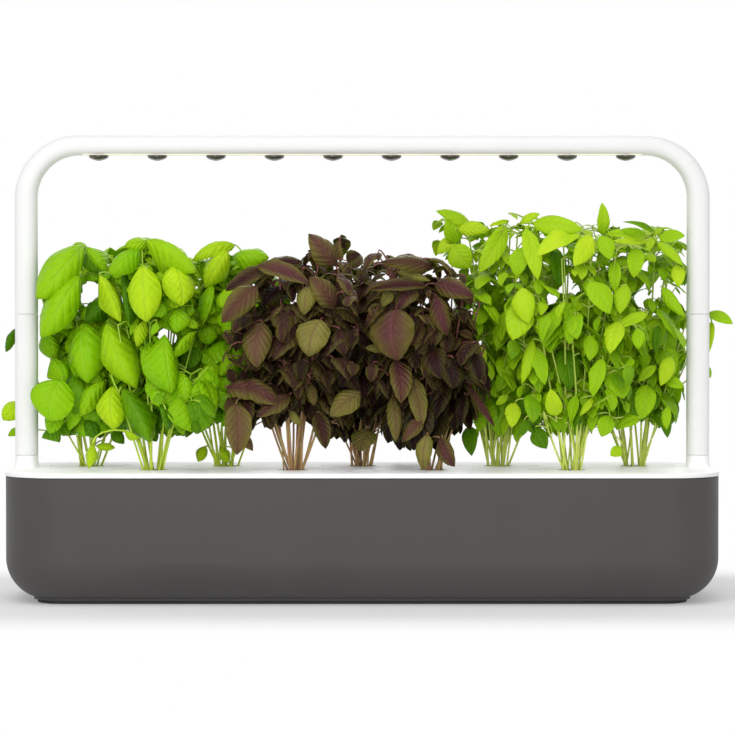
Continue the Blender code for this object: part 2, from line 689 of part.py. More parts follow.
def make_arch(lamp):
    """The lamp's hollow arch, slotted under the bar."""
    spigot = POST_WALL + GAP
    bore = spigot + SPIGOT_WALL
    outside = ((spigot, -SPIGOT_LENGTH), (spigot, GAP), (0, GAP))
    inside = ((bore, -SPIGOT_LENGTH), (bore, SHOULDER), (POST_WALL, 2 * SHOULDER))
    rings = leg_rings(-1, outside) + arch_bends(0) + leg_rings(1, outside[::-1])
    rings += leg_rings(1, inside) + arch_bends(POST_WALL)[::-1] + leg_rings(-1, inside[::-1])
    bm = bmesh.new()
    loft(bm, rings, hollow=True)
    arch = piece("lamp_arch", bm, TUBE_WHITE, lamp)
    slot = bmesh.new()
    low = (-SLOT_HALF_LENGTH, -SLOT_WIDTH / 2, LAMP_RISE - BAR_HALF_HEIGHT - OVERRUN)
    box(slot, low, (SLOT_HALF_LENGTH, SLOT_WIDTH / 2, LAMP_RISE - BAR_HALF_HEIGHT + 2 * POST_WALL))
    combine(arch, tool("lamp_slot", slot, lamp), "DIFFERENCE")


def make_light(lamp):
    """The light's cover, its board and the lenses under the bar."""
    low = LAMP_RISE - BAR_HALF_HEIGHT + COVER_SET_BACK
    half_length, half_width = SLOT_HALF_LENGTH - GAP, SLOT_WIDTH / 2 - GAP
    bm = bmesh.new()
    box(bm, (-half_length, -half_width, low), (half_length, half_width, low + COVER_THICKNESS))
    piece("led_cover", bm, COVER_CREAM, lamp)
    board = low + COVER_THICKNESS + GAP
    half_width = LED_BOARD_WIDTH / 2
    bm = bmesh.new()
    box(bm, (-half_length, -half_width, board), (half_length, half_width, board + LED_BOARD_THICKNESS))
    piece("led_board", bm, BOARD_GREEN, lamp)
    mesh = None
    for i in range(LENS_COUNT):
        name = f"lens_{i + 1}"
        lens = piece(name, lens_solid(), LENS_DARK) if mesh is None else placed(name, mesh, LENS_DARK)
        mesh = lens.data
        lens.parent = lamp
        lens.location = ((i - (LENS_COUNT - 1) / 2) * LENS_PITCH, 0, low - GAP)


def lens_solid():
    """A shallow dome that hangs from a short rim."""
    bm = bmesh.new()
    drop = LENS_DROP - LENS_RIM
    profile = [(LENS_RADIUS, 0), (LENS_RADIUS, -LENS_RIM)]
    for step in range(1, LENS_RINGS):
        a = step / LENS_RINGS * math.pi / 2
        profile.append((LENS_RADIUS * math.cos(a), -LENS_RIM - drop * math.sin(a)))
    profile.append((LENS_RIM, -LENS_DROP))
    turned(bm, profile, LENS_STEPS)
    return bm


def make_lamp(arm):
    """Everything that lifts off with the lamp."""
    lamp = body("lamp", (0, 0, ARM_TOP), arm)
    make_arch(lamp)
    make_light(lamp)
    profile = ((PIN_RADIUS, -SPIGOT_LENGTH - PIN_LENGTH), (PIN_RADIUS, -SPIGOT_LENGTH + GAP))
    profile += ((plug_radius(), -SPIGOT_LENGTH + GAP), (plug_radius(), 0))
    bm = bmesh.new()
    turned(bm, profile, SMALL_STEPS, (POST_X, 0))
    piece("lamp_plug", bm, CONTACT_BRASS, lamp)


def cup_solid():
    """A pod's cup: a wide flange flush with the lid over a tapered cup with a hole for the wick."""
    wick_hole = WICK_WIDTH / 2 + 2 * RUN
    inner_top, inner_base = CUP_RADIUS - CUP_WALL, CUP_BASE_RADIUS - CUP_WALL
    profile = ((wick_hole, -CUP_DEPTH), (CUP_BASE_RADIUS, -CUP_DEPTH), (CUP_RADIUS, -FLANGE_THICKNESS))
    profile += ((POD_RADIUS - RUN, -FLANGE_THICKNESS), (POD_RADIUS - RUN, 0), (CUP_MOUTH_RADIUS, 0))
    profile += ((CUP_MOUTH_RADIUS, -FLANGE_THICKNESS), (inner_top, -FLANGE_THICKNESS - CUP_WALL))
    profile += ((inner_base, -CUP_DEPTH + CUP_WALL), (wick_hole, -CUP_DEPTH + CUP_WALL))
    bm = bmesh.new()
    turned(bm, profile, CUP_STEPS, hollow=True)
    return bm


def plug_solid():
    """The growth plug that fills the cup."""
    low = -CUP_DEPTH + CUP_WALL + GAP
    base = CUP_BASE_RADIUS - CUP_WALL - RUN
    mouth = CUP_MOUTH_RADIUS - RUN
    bm = bmesh.new()
    turned(bm, ((base, low), (mouth, -PLUG_DROP - PLUG_BELOW), (mouth, -PLUG_DROP)), CUP_STEPS)
    return bm


def wick_solid():
    """The flat wick that hangs from the plug into the water."""
    inside = TANK_BOTTOM + TANK_WALL + WICK_TANK_CLEARANCE
    low, high = inside - LID_TOP, -CUP_DEPTH + CUP_WALL + GAP + OVERRUN
    bm = bmesh.new()
    box(bm, (-WICK_WIDTH / 2, -WICK_THICKNESS / 2, low), (WICK_WIDTH / 2, WICK_THICKNESS / 2, high))
    return bm


def make_pods(lid):
    """Nine pods, each with its cup, plug and plant, which lift out together."""
    cup = plug = None
    for i, (x, y) in enumerate(pod_places()):
        pod = body(f"pod_{i + 1}", (x, y, LID_TOP), lid)
        if cup is None:
            cup = piece("pod_cup_1", cup_solid(), CUP_WHITE, pod).data
            filler = piece("growth_plug_1", plug_solid(), SOIL_BROWN, pod)
            plug = filler.data
        else:
            placed(f"pod_cup_{i + 1}", cup, CUP_WHITE, pod)
            filler = placed(f"growth_plug_{i + 1}", plug, SOIL_BROWN, pod)
        combine(filler, tool(f"wick_{i + 1}", wick_solid(), pod), "UNION")
        make_plant(i, (x, y), pod)


def in_cell(point, number):
    """Whether a point is nearer to its own pod than to the others, and clear of the posts and the lamp."""
    places = pod_places()
    own = Vector(places[number])
    plan = Vector((point.x, point.y))
    for other in places:
        way = Vector(other) - own
        if way.length > 0 and (plan - own).dot(way.normalized()) > way.length / 2 - CELL_MARGIN:
            return False
    keep = POST_HALF_DEPTH + LEAF_CLEARANCE
    if abs(point.y) < keep and abs(point.x) > POST_X - POST_HALF_WIDTH - LEAF_CLEARANCE:
        return False
    under_lamp = ARM_TOP + LAMP_RISE - BAR_HALF_HEIGHT - LENS_DROP - POD_LIFT - LEAF_CLEARANCE
    if abs(point.y) < keep and point.z > under_lamp:
        return False
    if point.z < LID_TOP + LEAF_CLEARANCE:
        return False
    return abs(point.y) < TANK_DEPTH / 2 + FOLIAGE_SIDE and abs(point.x) < TANK_LENGTH / 2 + FOLIAGE_END


def blade_points(root, heading, rise, length, herb):
    """A leaf blade's points: the root, one side, the tip, the other side, then the middle of the back."""
    ahead = Vector((math.cos(heading), math.sin(heading), 0))
    aside = Vector((-ahead.y, ahead.x, 0))
    width = herb.leaf_width * length / herb.leaf_length

    bend = rise + herb.fall

    def at(along, out):
        """A point by its distance along the arched blade and out from its midrib."""
        pitch = rise - bend * along
        reach = length * (math.sin(rise) - math.sin(pitch)) / bend
        lift = length * (math.cos(pitch) - math.cos(rise)) / bend
        cup = BLADE_CUP_SHARE * width * abs(out)
        up = ahead * -math.sin(pitch) + Vector((0, 0, math.cos(pitch)))
        return root + ahead * reach + Vector((0, 0, lift)) + aside * (width * out) + up * cup

    left = [at(along, out) for along, out in BLADE_SHARES]
    right = [at(along, -out) for along, out in BLADE_SHARES]
    return [at(0, 0)] + left + [at(1, 0)] + right[::-1], at(BLADE_MIDDLE_SHARE, 0)


def add_leaf(bm, number, place, root, heading, rise, length, herb):
    """Add a leaf, turned inwards and shortened until it fits the plant's own space."""
    offset = Vector((*place, LID_TOP))
    towards = math.atan2(-root.y, -root.x)
    for _ in range(LEAF_FIT_TRIES):
        edge, middle = blade_points(root, heading, rise, length, herb)
        if all(in_cell(point + offset, number) for point in edge):
            break
        length *= LEAF_FIT_SHARE
        heading += LEAF_FIT_TURN * math.sin(towards - heading)
    else:
        return
    rim = [bm.verts.new(point) for point in edge]
    normal = (edge[3] - edge[0]).cross(edge[1] - edge[-1]).normalized()
    half = normal * (LEAF_THICKNESS / 2)
    top, under = bm.verts.new(middle - half), bm.verts.new(middle + half)
    for first, second in zip(rim, rim[1:] + rim[:1]):
        bm.faces.new((first, second, top))
        bm.faces.new((second, first, under))


def stem_path(number, herb, shares):
    """A stem's points from the crown up and outwards, in the pod's own coordinates."""
    turn, spread, height = shares
    heading = 2 * math.pi * (turn + PLANT_TURN_SHARES[number])
    ahead = Vector((math.cos(heading), math.sin(heading), 0))
    low = CROWN_HEIGHT / 2 - PLUG_DROP
    points = []
    for step in range(STEM_STEPS + 1):
        share = step / STEM_STEPS
        out = STEM_RING + (spread * herb.spread - STEM_RING) * share ** 1.4
        points.append(ahead * out + Vector((0, 0, low + (height * herb.height - low) * share)))
    return points, heading


def point_on(points, share):
    """The point at a share of a path's steps."""
    place = share * (len(points) - 1)
    step = min(int(place), len(points) - 2)
    return points[step].lerp(points[step + 1], place - step)


def add_stem(bm, points):
    """A tapering stem of a few flat sides."""
    rings = []
    last = len(points) - 1
    for step, point in enumerate(points):
        radius = STEM_RADIUS + (STEM_TIP_RADIUS - STEM_RADIUS) * step / last
        rings.append([point + corner for corner in circle(radius, 0, STEM_SIDES)])
    loft(bm, rings)


def make_plant(number, place, pod):
    """One herb plant: a few leaning stems with pairs of leaves, joined into one solid."""
    herb = HERBS[number]
    bm = bmesh.new()
    for shares in STEM_SHARES:
        points, heading = stem_path(number, herb, shares)
        add_stem(bm, points)
        for order, (share, size) in enumerate(LEAF_PAIR_SHARES):
            root = point_on(points, share)
            for side in (0, math.pi):
                turn = heading + side + order * math.pi / 2 + share
                add_leaf(bm, number, place, root, turn, herb.rise, size * herb.leaf_length, herb)
        root = point_on(points, 1 - STEM_TIP_RADIUS / herb.height)
        add_leaf(bm, number, place, root, heading, TOP_LEAF_RISE, TOP_LEAF_SHARE * herb.leaf_length, herb)
    plant = piece(f"plant_{number + 1}", bm, Finish(herb.colour, 0.5, 0.0), pod)
    crown = bmesh.new()
    low = -PLUG_DROP + GAP
    profile = ((CROWN_RADIUS, low), (CROWN_RADIUS, low + CROWN_HEIGHT / 2), (STEM_RING, low + CROWN_HEIGHT))
    turned(crown, profile, SMALL_STEPS)
    combine(plant, tool(f"crown_{number + 1}", crown, pod), "UNION", self_crossing=True)


def main():
    """Build the garden from the foot up."""
    clear_scene()
    make_foot()
    make_tank()
    lid = body("lid", (0, 0, LID_BOTTOM))
    make_lid(lid)
    make_tray(lid)
    make_timer(lid)
    make_float(lid)
    make_lamp(make_arms(lid))
    make_pods(lid)


main()
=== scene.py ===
"""Countertop herb garden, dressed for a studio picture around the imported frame.

Each sub-assembly is a class that builds its pieces in the frame's own metres, dresses them and lets them
ride on their CAD bodies. The herbs grow from stems that follow a rule, with extra leaves placed where the
photograph shows them.
"""

import json
import logging
import math
import random
from dataclasses import dataclass, field
from enum import Enum
from typing import Any, Callable, Iterable, Sequence

import bmesh
import bpy
from bmesh.types import BMVert, BMesh
from bpy.types import Material, Mesh, Node, NodeSocket, NodeTree, Object, Scene
from mathutils import Matrix, Vector, noise

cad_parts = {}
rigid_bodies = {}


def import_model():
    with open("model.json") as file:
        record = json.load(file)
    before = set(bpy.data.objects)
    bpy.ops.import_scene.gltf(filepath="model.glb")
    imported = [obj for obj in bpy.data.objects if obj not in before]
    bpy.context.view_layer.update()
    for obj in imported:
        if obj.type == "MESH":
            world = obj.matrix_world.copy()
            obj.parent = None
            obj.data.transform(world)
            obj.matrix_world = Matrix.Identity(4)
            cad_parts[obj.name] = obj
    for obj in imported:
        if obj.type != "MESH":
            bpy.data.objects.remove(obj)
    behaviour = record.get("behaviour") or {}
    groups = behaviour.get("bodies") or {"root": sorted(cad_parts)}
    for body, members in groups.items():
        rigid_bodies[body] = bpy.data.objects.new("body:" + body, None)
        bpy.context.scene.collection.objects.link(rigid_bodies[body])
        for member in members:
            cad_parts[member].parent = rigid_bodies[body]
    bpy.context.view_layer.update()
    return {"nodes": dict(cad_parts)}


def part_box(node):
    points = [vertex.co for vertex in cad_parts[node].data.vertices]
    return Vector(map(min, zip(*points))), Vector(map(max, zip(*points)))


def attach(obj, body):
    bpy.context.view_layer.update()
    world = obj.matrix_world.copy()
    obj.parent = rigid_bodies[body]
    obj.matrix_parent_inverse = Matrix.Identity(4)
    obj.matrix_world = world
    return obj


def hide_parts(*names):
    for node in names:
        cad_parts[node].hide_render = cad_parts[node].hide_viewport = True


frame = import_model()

LOG = logging.getLogger("herb_garden")

MM = 0.001
Point2 = tuple[float, float]
Colour = tuple[float, float, float]
Ring = list[Vector]

# The photograph's camera: distance from the middle plane, height, and its frame in pixels
VIEW_DISTANCE = 2500 * MM
VIEW_HEIGHT = 257 * MM
VIEW_FOCUS = 2830.0
VIEW_CENTRE_X = 362.5
VIEW_HORIZON = 306.0
PHOTO_SIDE = 735
SENSOR = 36.0

PIXELS_PER_MM = 1.13

POD_COUNT = 9
LID_TOP = 114 * MM
GOLDEN_TURN = 2.39996


def box_middle(node: str) -> Vector:
    """The middle of a CAD node's box."""
    low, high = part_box(node)
    return (low + high) / 2


# ---- meshes


def circle(radius: float, z: float, steps: int, middle: Point2 = (0, 0)) -> Ring:
    """Points of a level circle.

    Args:
        radius: Its radius.
        z: Its height.
        steps: How many points it has.
        middle: Its middle in plan.

    Returns:
        The points, anticlockwise from +X.
    """
    turns = [math.tau * i / steps for i in range(steps)]
    return [Vector((middle[0] + radius * math.cos(a), middle[1] + radius * math.sin(a), z)) for a in turns]


def slab(length: float, depth: float, corner: float, z: float, steps: int = 20) -> Ring:
    """Points of a level rectangle with round corners.

    Args:
        length: Its size along X.
        depth: Its size along Y.
        corner: The corners' radius.
        z: Its height.
        steps: Steps round each corner.

    Returns:
        The points, anticlockwise.
    """
    points = []
    for quarter, (side_x, side_y) in enumerate(((1, 1), (-1, 1), (-1, -1), (1, -1))):
        x = side_x * (length / 2 - corner)
        y = side_y * (depth / 2 - corner)
        for step in range(steps + 1):
            a = (quarter + step / steps) * math.pi / 2
            points.append(Vector((x + corner * math.cos(a), y + corner * math.sin(a), z)))
    return points


def loft(bm: BMesh, rings: Sequence[Ring], hollow: bool = False) -> None:
    """Skin rings of points.

    Args:
        bm: The mesh that it adds to.
        rings: Rings with as many points each.
        hollow: Whether the last ring joins the first, in place of two flat ends.
    """
    loops = [[bm.verts.new(point) for point in ring] for ring in rings]
    count = len(loops[0])
    pairs = list(zip(loops, loops[1:]))
    if hollow:
        pairs.append((loops[-1], loops[0]))
    for low, high in pairs:
        for i in range(count):
            j = (i + 1) % count
            bm.faces.new((low[i], low[j], high[j], high[i]))
    if not hollow:
        bm.faces.new(loops[0][::-1])
        bm.faces.new(loops[-1])


def turned(
    bm: BMesh, profile: Sequence[Point2], steps: int, middle: Point2 = (0, 0), hollow: bool = False
) -> None:
    """Turn a profile of (radius, height) about the upright line through middle."""
    loft(bm, [circle(radius, z, steps, middle) for radius, z in profile], hollow)


def lofted(rings: Sequence[Ring], hollow: bool = False) -> BMesh:
    """A new mesh skinned over rings of points."""
    bm = bmesh.new()
    loft(bm, rings, hollow)
    return bm


def lathed(profile: Sequence[Point2], steps: int, middle: Point2 = (0, 0), hollow: bool = False) -> BMesh:
    """A new mesh turned from a profile."""
    return lofted([circle(radius, z, steps, middle) for radius, z in profile], hollow)


def box(bm: BMesh, low: Sequence[float], high: Sequence[float]) -> None:
    """Add an upright box between two corners."""
    corners = ((low[0], low[1]), (high[0], low[1]), (high[0], high[1]), (low[0], high[1]))
    loft(bm, [[Vector((x, y, z)) for x, y in corners] for z in (low[2], high[2])])


def new_piece(name: str, bm: BMesh, sharp_degrees: float = 35) -> Object:
    """An object at the origin from a mesh in the frame's coordinates.

    Args:
        name: The piece's name.
        bm: Its mesh, which is freed.
        sharp_degrees: Edges that bend more than this stay sharp.

    Returns:
        The linked object.
    """
    bmesh.ops.recalc_face_normals(bm, faces=bm.faces)
    mesh = bpy.data.meshes.new(name)
    bm.to_mesh(mesh)
    bm.free()
    return show(name, mesh, sharp_degrees)


def show(name: str, mesh: Mesh, sharp_degrees: float = 35) -> Object:
    """Link an object that shows a mesh, shaded smooth but for its sharp edges."""
    mesh.shade_smooth()
    mesh.set_sharp_from_angle(angle=math.radians(sharp_degrees))
    thing = bpy.data.objects.new(name, mesh)
    bpy.context.scene.collection.objects.link(thing)
    return thing


def plain_copy(thing: Object, name: str) -> Mesh:
    """The evaluated mesh of an object, with its modifiers applied; the object itself is removed."""
    graph = bpy.context.evaluated_depsgraph_get()
    mesh = bpy.data.meshes.new_from_object(thing.evaluated_get(graph), depsgraph=graph)
    mesh.name = name
    bpy.data.objects.remove(thing, do_unlink=True)
    return mesh


def carve(
    thing: Object, cutters: Sequence[tuple[BMesh, str]], name: str
) -> Object:
    """Apply exact Booleans to a piece.

    Args:
        thing: The piece.
        cutters: Meshes with UNION or DIFFERENCE.
        name: The finished piece's name.

    Returns:
        The finished piece, without modifiers.
    """
    helpers = []
    for bm, operation in cutters:
        helper = new_piece(f"{name}_{operation.lower()}", bm)
        helpers.append(helper)
        modifier = thing.modifiers.new(operation, "BOOLEAN")
        modifier.object = helper
        modifier.operation = operation
        modifier.solver = "EXACT"
        modifier.use_self = operation == "UNION"
    mesh = plain_copy(thing, name)
    for helper in helpers:
        bpy.data.objects.remove(helper, do_unlink=True)
    bm = bmesh.new()
    bm.from_mesh(mesh)
    bmesh.ops.remove_doubles(bm, verts=bm.verts, dist=1e-6)
    bmesh.ops.dissolve_degenerate(bm, edges=bm.edges, dist=1e-6)
    bm.to_mesh(mesh)
    bm.free()
    return show(name, mesh)


def mount(
    piece: Object, body: str, material: Material, nodes: Iterable[str] = ()
) -> Object:
    """Dress a piece and let it ride.

    Args:
        piece: The piece.
        body: The CAD body that carries it.
        material: Its material.
        nodes: CAD nodes that it stands for.

    Returns:
        The piece.
    """
    piece.data.materials.clear()
    piece.data.materials.append(material)
    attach(piece, body)
    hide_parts(*nodes)
    LOG.info("%s rides on %s", piece.name, body)
    return piece


# ---- node trees


class Tree:
    """Adds and links nodes in one tree."""

    def __init__(self, tree: NodeTree) -> None:
        """Start on a tree."""
        self.tree = tree

    def link(self, output: NodeSocket, socket: NodeSocket) -> None:
        """Link an output to a socket."""
        self.tree.links.new(output, socket)

    def add(self, kind: str, inputs: dict[Any, Any] | None = None, **settings: Any) -> Node:
        """Add a node.

        Args:
            kind: The node's type.
            inputs: Values or outputs by socket name or number.
            settings: The node's own properties.

        Returns:
            The node.
        """
        node = self.tree.nodes.new(kind)
        for key, value in settings.items():
            setattr(node, key, value)
        for key, value in (inputs or {}).items():
            if isinstance(value, NodeSocket):
                self.link(value, node.inputs[key])
            else:
                node.inputs[key].default_value = value
        return node

    def math(self, operation: str, *values: Any) -> NodeSocket:
        """Work out a number from numbers or outputs."""
        return self.add("ShaderNodeMath", dict(enumerate(values)), operation=operation).outputs[0]

    def ease(self, value: Any, low: float, high: float, to_low: float = 0.0, to_high: float = 1.0) -> Any:
        """Map a number smoothly from one range to another."""
        inputs = {0: value, 1: low, 2: high, 3: to_low, 4: to_high}
        return self.add("ShaderNodeMapRange", inputs, interpolation_type="SMOOTHSTEP").outputs[0]

    def blend(self, share: Any, first: Any, second: Any) -> NodeSocket:
        """Mix two colours."""
        node = self.tree.nodes.new("ShaderNodeMix")
        node.data_type = "RGBA"
        for socket, value in ((node.inputs[0], share), (node.inputs[6], first), (node.inputs[7], second)):
            if isinstance(value, NodeSocket):
                self.link(value, socket)
            else:
                socket.default_value = (*value, 1) if isinstance(value, tuple) else value
        return node.outputs[2]


def node_group(
    name: str, inputs: Sequence[tuple[str, str, Any]], outputs: Sequence[str], build: Callable[..., None]
) -> NodeTree:
    """Make a shader node group.

    Args:
        name: The group's name.
        inputs: Name, socket type and value of each input.
        outputs: Names of its value outputs.
        build: Fills the group, given the tree and its input and output nodes.

    Returns:
        The group's tree.
    """
    group = bpy.data.node_groups.new(name, "ShaderNodeTree")
    for socket_name, kind, value in inputs:
        socket = group.interface.new_socket(name=socket_name, in_out="INPUT", socket_type=kind)
        if value is not None:
            socket.default_value = value
    for socket_name in outputs:
        group.interface.new_socket(name=socket_name, in_out="OUTPUT", socket_type="NodeSocketFloat")
    tree = Tree(group)
    start = tree.add("NodeGroupInput")
    end = tree.add("NodeGroupOutput")
    build(tree, start, end)
    return group


def fill_grain(tree: Tree, start: Node, end: Node) -> None:
    """Fine moulded grain for a bump, and slow patches for colour and gloss."""
    place = start.outputs["Place"]
    fine = tree.add("ShaderNodeTexNoise", {"Vector": place, "Scale": start.outputs["Grain"], "Detail": 3.0})
    slow = tree.add("ShaderNodeTexNoise", {"Vector": place, "Scale": start.outputs["Patches"], "Detail": 2.0})
    tree.link(fine.outputs[0], end.inputs["Height"])
    tree.link(tree.ease(slow.outputs[0], 0.3, 0.7), end.inputs["Patch"])


def fill_veins(tree: Tree, start: Node, end: Node) -> None:
    """A leaf's midrib and side veins from its own map: across in U, along in V."""
    map_parts = tree.add("ShaderNodeSeparateXYZ", {0: start.outputs["Leaf map"]})
    along = map_parts.outputs[1]
    centred = tree.math("SUBTRACT", tree.math("MULTIPLY", map_parts.outputs[0], 2.0), 1.0)
    out = tree.math("ABSOLUTE", centred)
    bend = tree.math("MULTIPLY", tree.math("POWER", out, 0.8), start.outputs["Slant"])
    phase = tree.math("MULTIPLY", tree.math("SUBTRACT", along, bend), start.outputs["Veins"])
    side_shift = tree.math("MULTIPLY", tree.math("SIGN", centred), 0.17)
    cycle = tree.math("FRACT", tree.math("ADD", phase, side_shift))
    away = tree.math("ABSOLUTE", tree.math("SUBTRACT", cycle, 0.5))
    side = tree.math("MULTIPLY", tree.ease(away, 0.03, 0.16, 1.0, 0.0), tree.ease(out, 0.65, 1.0, 1.0, 0.0))
    rib = tree.ease(out, 0.02, 0.09, 1.0, 0.0)
    vein = tree.math("MAXIMUM", rib, tree.math("MULTIPLY", side, 0.30))
    quilt = tree.math("MULTIPLY", tree.ease(away, 0.0, 0.5), tree.ease(out, 0.0, 0.25))
    tree.link(vein, end.inputs["Vein"])
    tree.link(tree.math("SUBTRACT", quilt, vein), end.inputs["Height"])
    tree.link(tree.ease(out, 0.25, 1.0), end.inputs["Margin"])


class SharedNodes:
    """Node groups that several finishes use, built once."""

    def __init__(self) -> None:
        """Build the groups."""
        vector, number = "NodeSocketVector", "NodeSocketFloat"
        self.grain = node_group(
            "Moulded grain",
            (("Place", vector, None), ("Grain", number, 900.0), ("Patches", number, 12.0)),
            ("Height", "Patch"),
            fill_grain,
        )
        self.veins = node_group(
            "Leaf veins",
            (("Leaf map", vector, None), ("Veins", number, 7.0), ("Slant", number, 0.3)),
            ("Vein", "Height", "Margin"),
            fill_veins,
        )

    def add_grain(self, tree: Tree, grain: float, patches: float) -> Node:
        """Add the grain to a finish, at a piece's own coordinates; both frequencies are per metre."""
        place = tree.add("ShaderNodeTexCoord").outputs["Object"]
        inputs = {"Place": place, "Grain": grain, "Patches": patches}
        return tree.add("ShaderNodeGroup", inputs, node_tree=self.grain)


# ---- finishes


@dataclass(frozen=True)
class Moulding:
    """Plastic, paint, rubber or metal with a fine grain.

    Attributes:
        name: The material's name.
        colour: Linear base colour.
        roughness: Middle roughness.
        metallic: 0 for plastic and paint, 1 for metal.
        grain: Grain frequency, per metre.
        relief: Depth of the grain.
        patches: Frequency of the slow patches.
        drift: How far colour and gloss drift from patch to patch.
        glow: Strength of its own light.
        coat: Weight of a clear coat.
        shine: How strongly it reflects, 0.5 for plastic.
    """

    name: str
    colour: Colour
    roughness: float
    metallic: float = 0.0
    grain: float = 900.0
    relief: float = 0.02
    patches: float = 12.0
    drift: float = 0.04
    glow: float = 0.0
    coat: float = 0.0
    shine: float = 0.5

    def build(self, shared: SharedNodes) -> Material:
        """Make the material from the shared grain."""
        material, tree, shader = new_material(self.name)
        grain = shared.add_grain(tree, self.grain, self.patches)
        dark = tuple(c * (1 - self.drift) for c in self.colour)
        light = tuple(min(c * (1 + self.drift), 1.0) for c in self.colour)
        colour = tree.blend(grain.outputs["Patch"], dark, light)
        gloss = tree.ease(grain.outputs["Patch"], 0, 1, self.roughness - 0.04, self.roughness + 0.04)
        bump_inputs = {"Strength": self.relief, "Distance": 0.0005, "Height": grain.outputs["Height"]}
        bump = tree.add("ShaderNodeBump", bump_inputs)
        tree.link(colour, shader.inputs["Base Color"])
        tree.link(gloss, shader.inputs["Roughness"])
        tree.link(bump.outputs[0], shader.inputs["Normal"])
        shader.inputs["Metallic"].default_value = self.metallic
        shader.inputs["Coat Weight"].default_value = self.coat
        shader.inputs["Specular IOR Level"].default_value = self.shine
        if self.glow:
            tree.link(colour, shader.inputs["Emission Color"])
            shader.inputs["Emission Strength"].default_value = self.glow
        material.diffuse_color = (*self.colour, 1)
        return material


@dataclass(frozen=True)
class LeafFinish:
    """A leaf blade's colour, veins and gloss.

    Attributes:
        name: The material's name.
        deep: Colour of the darkest leaves, a painted shade for leaves low in the foliage or lying in shade.
        middle: Colour of the usual leaf.
        bright: Colour of the lightest leaves, a painted light for leaves that lie well lit.
        vein: Colour of the ribs.
        margin: Colour towards the edge.
        margin_share: How much of the margin colour shows.
        veins: Side veins along one side.
        slant: How far the veins sweep forwards.
        gloss: Roughness.
        relief: Depth of the quilting.
        flush: Colour of the patches that other leaves don't have.
        flush_share: How much of it shows.
        ribs: How much of the ribs' colour shows.
        crinkle: How much of the relief is uneven, beside the quilting.
        puckers: Frequency of the uneven relief, per metre.
        patches: Frequency of the patches, per metre.
    """

    name: str
    deep: Colour
    middle: Colour
    bright: Colour
    vein: Colour
    margin: Colour
    margin_share: float
    veins: float
    slant: float
    gloss: float
    relief: float
    flush: Colour
    flush_share: float
    ribs: float = 0.3
    crinkle: float = 0.6
    puckers: float = 170.0
    patches: float = 38.0

    def build(self, shared: SharedNodes) -> Material:
        """Make the material from the shared veins and grain."""
        material, tree, shader = new_material(self.name)
        leaf_map = tree.add("ShaderNodeUVMap", uv_map="leaf").outputs[0]
        values = {"Leaf map": leaf_map, "Veins": self.veins, "Slant": self.slant}
        veins = tree.add("ShaderNodeGroup", values, node_tree=shared.veins)
        grain = shared.add_grain(tree, self.puckers, self.patches)
        # Painted light and shade: each leaf's shade value blends its colour from deep through middle to bright
        shade = tree.add("ShaderNodeAttribute", attribute_name="shade").outputs["Fac"]
        low = tree.blend(tree.ease(shade, 0.0, 0.5), self.deep, self.middle)
        colour = tree.blend(tree.ease(shade, 0.45, 1.0), low, self.bright)
        # Shaded leaves show less of their patches, margin and ribs, which is part of the painted shade
        patch = tree.math("MULTIPLY", grain.outputs["Patch"], self.flush_share)
        colour = tree.blend(tree.math("MULTIPLY", patch, tree.ease(shade, 0.0, 0.4)), colour, self.flush)
        lit = tree.ease(shade, 0.0, 0.4, 0.2, 1.0)
        edge = tree.math("MULTIPLY", tree.math("MULTIPLY", veins.outputs["Margin"], self.margin_share), lit)
        colour = tree.blend(edge, colour, self.margin)
        rib = tree.math("MULTIPLY", tree.math("MULTIPLY", veins.outputs["Vein"], self.ribs), lit)
        colour = tree.blend(rib, colour, self.vein)
        uneven = tree.math("MULTIPLY", grain.outputs["Height"], self.crinkle)
        height = tree.math("ADD", tree.math("MULTIPLY", veins.outputs["Height"], 0.5), uneven)
        bump = tree.add("ShaderNodeBump", {"Strength": self.relief, "Distance": 0.0012, "Height": height})
        tree.link(colour, shader.inputs["Base Color"])
        roughness = tree.ease(grain.outputs["Patch"], 0, 1, self.gloss - 0.06, self.gloss + 0.06)
        tree.link(roughness, shader.inputs["Roughness"])
        tree.link(bump.outputs[0], shader.inputs["Normal"])
        shader.inputs["Specular IOR Level"].default_value = 0.10
        shader.inputs["Subsurface Weight"].default_value = 0.12
        shader.inputs["Subsurface Radius"].default_value = (0.6, 1.0, 0.1)
        shader.inputs["Subsurface Scale"].default_value = 2 * MM
        material.diffuse_color = (*self.middle, 1)
        return material


@dataclass(frozen=True)
class StemFinish:
    """A stem that changes colour from the soil up.

    Attributes:
        name: The material's name.
        foot: Colour near the lid.
        top: Colour among the leaves.
        streak: Colour of its patches.
    """

    name: str
    foot: Colour
    top: Colour
    streak: Colour

    def build(self, shared: SharedNodes) -> Material:
        """Make the material; the height above the lid sets the colour."""
        material, tree, shader = new_material(self.name)
        place = tree.add("ShaderNodeTexCoord").outputs["Object"]
        height = tree.add("ShaderNodeSeparateXYZ", {0: place}).outputs[2]
        grain = shared.add_grain(tree, 600.0, 90.0)
        colour = tree.blend(tree.ease(height, LID_TOP, LID_TOP + 90 * MM), self.foot, self.top)
        patch = tree.math("MULTIPLY", grain.outputs["Patch"], 0.6)
        colour = tree.blend(patch, colour, self.streak)
        inputs = {"Strength": 0.2, "Distance": 0.0004, "Height": grain.outputs["Height"]}
        bump = tree.add("ShaderNodeBump", inputs)
        tree.link(colour, shader.inputs["Base Color"])
        tree.link(bump.outputs[0], shader.inputs["Normal"])
        shader.inputs["Roughness"].default_value = 0.45
        shader.inputs["Specular IOR Level"].default_value = 0.2
        shader.inputs["Subsurface Weight"].default_value = 0.1
        shader.inputs["Subsurface Scale"].default_value = 1 * MM
        material.diffuse_color = (*self.top, 1)
        return material


def new_material(name: str) -> tuple[Material, Tree, Node]:
    """A node material with its tree and its Principled shader."""
    material = bpy.data.materials.new(name)
    material.use_nodes = True
    tree = Tree(material.node_tree)
    return material, tree, material.node_tree.nodes["Principled BSDF"]


